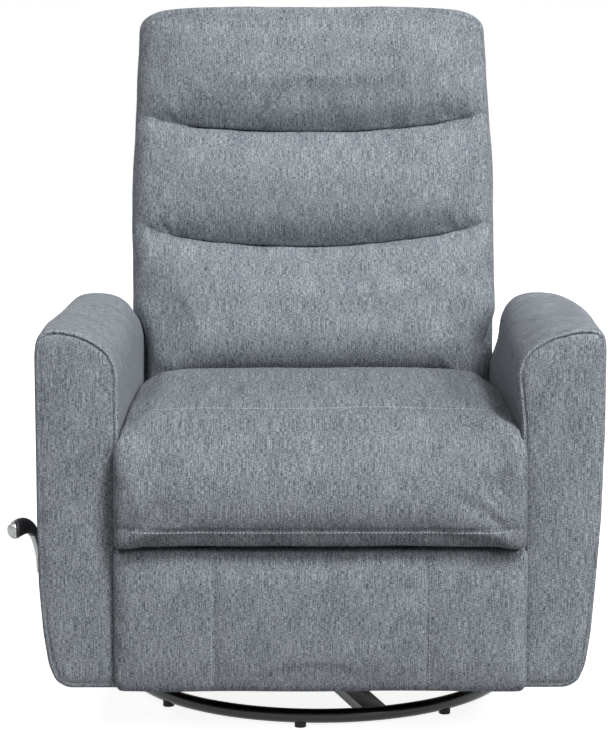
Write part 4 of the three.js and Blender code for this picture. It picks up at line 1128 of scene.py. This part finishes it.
# %% The rear apron
low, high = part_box("rear_apron")
edge = high.x / MM
rings = []
for x in slices(edge, edge - 6, 2, 270, 30):
    soft = float(draw_in(high.x - abs(x), 3 * MM))
    y0, y1, z0, z1 = low.y + soft, high.y - soft, low.z + soft, high.z - soft
    r = 3 * MM
    ring = arc(y0 + r, z0 + r, r, 180, 270, 4) + arc(y1 - r, z0 + r, r, 270, 360, 4)
    ring += arc(y1 - r, z1 - r, r, 0, 90, 4) + arc(y0 + r, z1 - r, r, 90, 180, 4)
    rings.append([(x, y, z) for y, z in ring])
apron = skin("rear_apron_cloth", rings, linen)
apron.data.shade_smooth()
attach(apron, "chair_frame")
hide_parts("rear_apron")
print("rear apron", len(apron.data.polygons), "faces")


# %% [markdown]
# ## Steel, timber, rubber and plastic
#
# The base is welded steel tube and bar with a gloss black powder coat: a thin plastic skin, nearly
# mirror-like but slightly dimpled like orange peel, so its highlights are soft at the edges. The links
# are zinc-plated strip, grey with a faint crystal pattern. The springs are drawn wire. The frame inside is
# planed softwood. The lever is cast zinc with a satin nickel plate, and its grip is moulded soft PVC.


# %% Finishes of the hard parts
def powder_coat():
    material, tree = new_material("gloss_black_powder_coat")
    peel = relief_from(tree, speckle(tree, 420.0, 2.0), 0.12, 0.2 * MM)
    dust = speckle(tree, 25.0, 4.0)
    tone = two_tone(tree, dust, "#0b0b0c", "#161617")
    rough = roughness_from(tree, dust, 0.2, 0.34)
    return finished(material, {"Base Color": tone, "Roughness": rough, "IOR": 1.5, "Normal": peel})


def plated_metal(name, dark, light, rough_low, rough_high, cell, stretch):
    material, tree = new_material(name)
    grains = speckle(tree, 1 / cell, 3.0, stretch)
    tone = two_tone(tree, grains, dark, light)
    rough = roughness_from(tree, grains, rough_low, rough_high)
    bump = relief_from(tree, grains, 0.1, 0.1 * MM)
    return finished(material, {"Base Color": tone, "Roughness": rough, "Metallic": 1.0, "Normal": bump})


def planed_softwood():
    material, tree = new_material("planed_softwood")
    grain = speckle(tree, 90.0, 5.0, (1.0, 0.12, 1.0), distortion=0.6)
    tone = two_tone(tree, grain, "#a98154", "#d3b183")
    bump = relief_from(tree, grain, 0.25, 0.3 * MM)
    return finished(material, {"Base Color": tone, "Roughness": 0.72, "IOR": 1.5, "Normal": bump})


def moulded(name, dark, light, roughness, grit):
    material, tree = new_material(name)
    grains = speckle(tree, 1 / grit, 2.0)
    tone = two_tone(tree, grains, dark, light)
    bump = relief_from(tree, grains, 0.3, 0.15 * MM)
    return finished(material, {"Base Color": tone, "Roughness": roughness, "IOR": 1.5, "Normal": bump})


zinc = plated_metal("zinc_plated_steel", "#94989b", "#b9bcbd", 0.32, 0.46, 4 * MM, (1, 1, 1))
wire = plated_metal("drawn_spring_wire", "#55585b", "#7c7f82", 0.3, 0.4, 1 * MM, (1, 0.1, 1))
nickel = plated_metal("satin_nickel_plate", "#77787a", "#a9aaaa", 0.24, 0.36, 1.2 * MM, (1, 0.2, 1))
finish_of = {
    "timber": planed_softwood(),
    "black_steel": powder_coat(),
    "zinc_steel": zinc,
    "spring_steel": wire,
    "pad_rubber": moulded("moulded_rubber", "#121212", "#1f1f20", 0.75, 1 * MM),
    "lever_metal": nickel,
    "grip_plastic": moulded("soft_moulded_pvc", "#26272a", "#37383b", 0.5, 0.8 * MM),
}
slot_of = {part["node"]: part["material_slot"] for part in frame["record"]["subparts"]}
for name, node in nodes.items():
    if slot_of[name] in finish_of:
        node.data.materials.clear()
        node.data.materials.append(finish_of[slot_of[name]])
print(len(finish_of), "finishes on the hard parts")

# %% [markdown]
# ## Ring, cross and lever
#
# The CAD ring has eight flat sides, enough for a machine but not for a highlight. Here the tube is swept
# again with a round section. The cross keeps its CAD shape with broken edges, as a cut steel bar has.


# %% The ring and the cross
RING_STEPS = 160
TUBE_STEPS = 24


def round_ring():
    low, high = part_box("base_ring")
    tube = (high.z - low.z) / 2
    middle = Vector((0, 0, (high.z + low.z) / 2))
    radius = high.x - tube
    rings = []
    for i in range(RING_STEPS):
        a = i * math.tau / RING_STEPS
        out = Vector((math.cos(a), math.sin(a), 0))
        ring = []
        for t in np.linspace(0, math.tau, TUBE_STEPS, endpoint=False):
            upward = Vector((0, 0, tube * math.sin(t)))
            ring.append(middle + out * (radius + tube * math.cos(t)) + upward)
        rings.append(ring)
    points = [p for ring in rings for p in ring]
    faces = []
    for i in range(RING_STEPS):
        for k in range(TUBE_STEPS):
            a, b = i * TUBE_STEPS, ((i + 1) % RING_STEPS) * TUBE_STEPS
            j = (k + 1) % TUBE_STEPS
            faces.append((a + k, b + k, b + j, a + j))
    mesh = bpy.data.meshes.new("ring_tube")
    mesh.from_pydata(points, [], faces)
    ring = show("ring_tube", mesh, finish_of["black_steel"])
    mesh.shade_smooth()
    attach(ring, "base")
    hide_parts("base_ring")


def bevelled_copy(node, name, width, body, slot):
    mesh = nodes[node].data.copy()
    piece = show(name, mesh, finish_of[slot])
    shape = bmesh.new()
    shape.from_mesh(mesh)
    bmesh.ops.remove_doubles(shape, verts=shape.verts, dist=1e-5)
    bmesh.ops.dissolve_limit(shape, angle_limit=math.radians(1), verts=shape.verts, edges=shape.edges)
    shape.to_mesh(mesh)
    shape.free()
    edge = piece.modifiers.new("edge", "BEVEL")
    edge.width = width
    edge.segments = 2
    edge.limit_method = "ANGLE"
    edge.angle_limit = math.radians(35)
    settle(piece)
    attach(piece, body)
    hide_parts(node)
    return piece


round_ring()
cross = bevelled_copy("base_cross", "cross_bars", 1.6 * MM, "base", "black_steel")
print("ring and cross", len(cross.data.polygons), "faces on the cross")

# %% [markdown]
# ## Lever
#
# The lever is a cast bar of oval section. It stands on a round boss beside the arm, rises along it, and
# flares outwards to a thick tip. A dark soft sleeve lies in a groove round the bar, and ends on a slant, so
# that from the front only the outer side of the tip shows its metal. The middle line is a curve with four
# handles. Points on the bar are found by how far along the curve they are and by their angle round it, so
# the sleeve, the groove and the tip share one function.

# %% The lever's form
LEVER_REACH = 128 * MM
SLEEVE_START = 0.5
shaft_low, shaft_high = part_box("torque_shaft")
SHAFT_Y, SHAFT_Z = (shaft_low.y + shaft_high.y) / 2, (shaft_low.z + shaft_high.z) / 2
BOSS_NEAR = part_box("lever")[1].x
BOSS_FAR = BOSS_NEAR - 22 * MM
handles = []
for out, forward, up in ((0, -0.04, -0.08), (0, 0.2, 0.38), (0.02, 0.5, 0.7), (0.235, 0.86, 0.56)):
    offset = Vector((4 * MM - out * LEVER_REACH, -forward * LEVER_REACH, up * LEVER_REACH))
    handles.append(Vector((BOSS_FAR, SHAFT_Y, SHAFT_Z)) + offset)


def lever_line(t):
    a, b, c, d = handles
    place = a * (1 - t) ** 3 + b * 3 * t * (1 - t) ** 2 + c * 3 * t * t * (1 - t) + d * t**3
    along = (b - a) * (1 - t) ** 2 + (c - b) * 2 * t * (1 - t) + (d - c) * t * t
    return place, along.normalized()


def lever_point(t, angle, proud):
    place, along = lever_line(t)
    across = Vector((1, 0, 0)).cross(along).normalized()
    outward = across.cross(along)
    grown = min(max((t - 0.45) / 0.5, 0), 1)
    grown = grown * grown * (3 - 2 * grown)
    width, thickness = (16 + 12 * grown) * MM, (9 + 13 * min(t * 1.1, 1)) * MM
    from_tip = min(max((1 - t) * 1.3 * LEVER_REACH / (9 * MM), 0.02), 1)
    blunt = 0.45 + 0.55 * math.sqrt(1 - (1 - from_tip) ** 2)
    spread_across = across * math.cos(angle) * (width / 2 * blunt + proud)
    return place + spread_across + outward * math.sin(angle) * (thickness / 2 * blunt + proud)


def sleeve_end(angle):
    return 0.93 - 0.06 * math.sin(angle)


def angles_round(count):
    return [i * math.tau / count for i in range(count)]


def lever_ring(start, end, share, proud):
    ring = []
    for angle in angles_round(40):
        first = sleeve_end(angle) if start is None else start
        last = sleeve_end(angle) if end is None else end
        ring.append(lever_point(first + (last - first) * share, angle, proud))
    return ring


print("torque shaft at", round(SHAFT_Y / MM), "and", round(SHAFT_Z / MM), "mm")

# %% The lever's bar, sleeve and boss
GROOVE = -2 * MM
SLEEVE_INSIDE = -1.7 * MM
BOSS_PROFILE = [(18, 0), (18, 17), (17.6, 19), (16.5, 20.8), (15, 21.7), (13, 22), (6, 22)]
rings = [lever_ring(0, SLEEVE_START, share, 0) for share in spread(0, 1, 0.05)]
rings += [lever_ring(SLEEVE_START, None, share, GROOVE) for share in spread(0, 1, 0.08)]
rings += [lever_ring(None, 1, share, 0) for share in (0, 0.2, 0.4, 0.55, 0.7, 0.8, 0.88, 0.94, 0.98, 1)]
bar = skin("lever_bar", rings, finish_of["lever_metal"])
skin_start, skin_end = SLEEVE_START + 0.004, 0.985
rings = []
for share in spread(0, 1, 0.06):
    proud = 0.2 * MM + 0.4 * MM * math.sin(math.pi * share)
    rings.append(lever_ring(skin_start, None, share * skin_end, proud))
for share in spread(0, 1, 0.06)[::-1]:
    rings.append(lever_ring(skin_start, None, share * skin_end, SLEEVE_INSIDE))
sleeve = skin("lever_sleeve", rings + rings[:1], finish_of["grip_plastic"])
shape = bmesh.new()
shape.from_mesh(sleeve.data)
bmesh.ops.delete(shape, geom=[f for f in shape.faces if len(f.verts) > 4], context="FACES_ONLY")
bmesh.ops.remove_doubles(shape, verts=shape.verts, dist=1e-6)
bmesh.ops.recalc_face_normals(shape, faces=shape.faces)
shape.to_mesh(sleeve.data)
shape.free()
rings = []
for radius, out in BOSS_PROFILE:
    x, r = BOSS_NEAR - out * MM, radius * MM
    rings.append([(x, SHAFT_Y + r * math.cos(a), SHAFT_Z + r * math.sin(a)) for a in angles_round(48)])
boss = skin("lever_boss", rings, finish_of["lever_metal"])
gap = 0.3 * MM
bore_low = (BOSS_FAR + gap, shaft_low.y - gap, shaft_low.z - gap)
bore_high = (BOSS_NEAR + 1 * MM, shaft_high.y + gap, shaft_high.z + gap)
hollow(boss, bore_low, bore_high)
metal = ("lever", "lever_metal")
for piece, node, finish in ((bar, *metal), (boss, *metal), (sleeve, "lever_grip", "grip_plastic")):
    piece.data.shade_smooth()
    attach(piece, "lever_shaft")
    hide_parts(node)
boss.data.set_sharp_from_angle(angle=math.radians(40))
for piece in (bar, sleeve, boss):
    print(piece.name, len(piece.data.polygons), "faces")
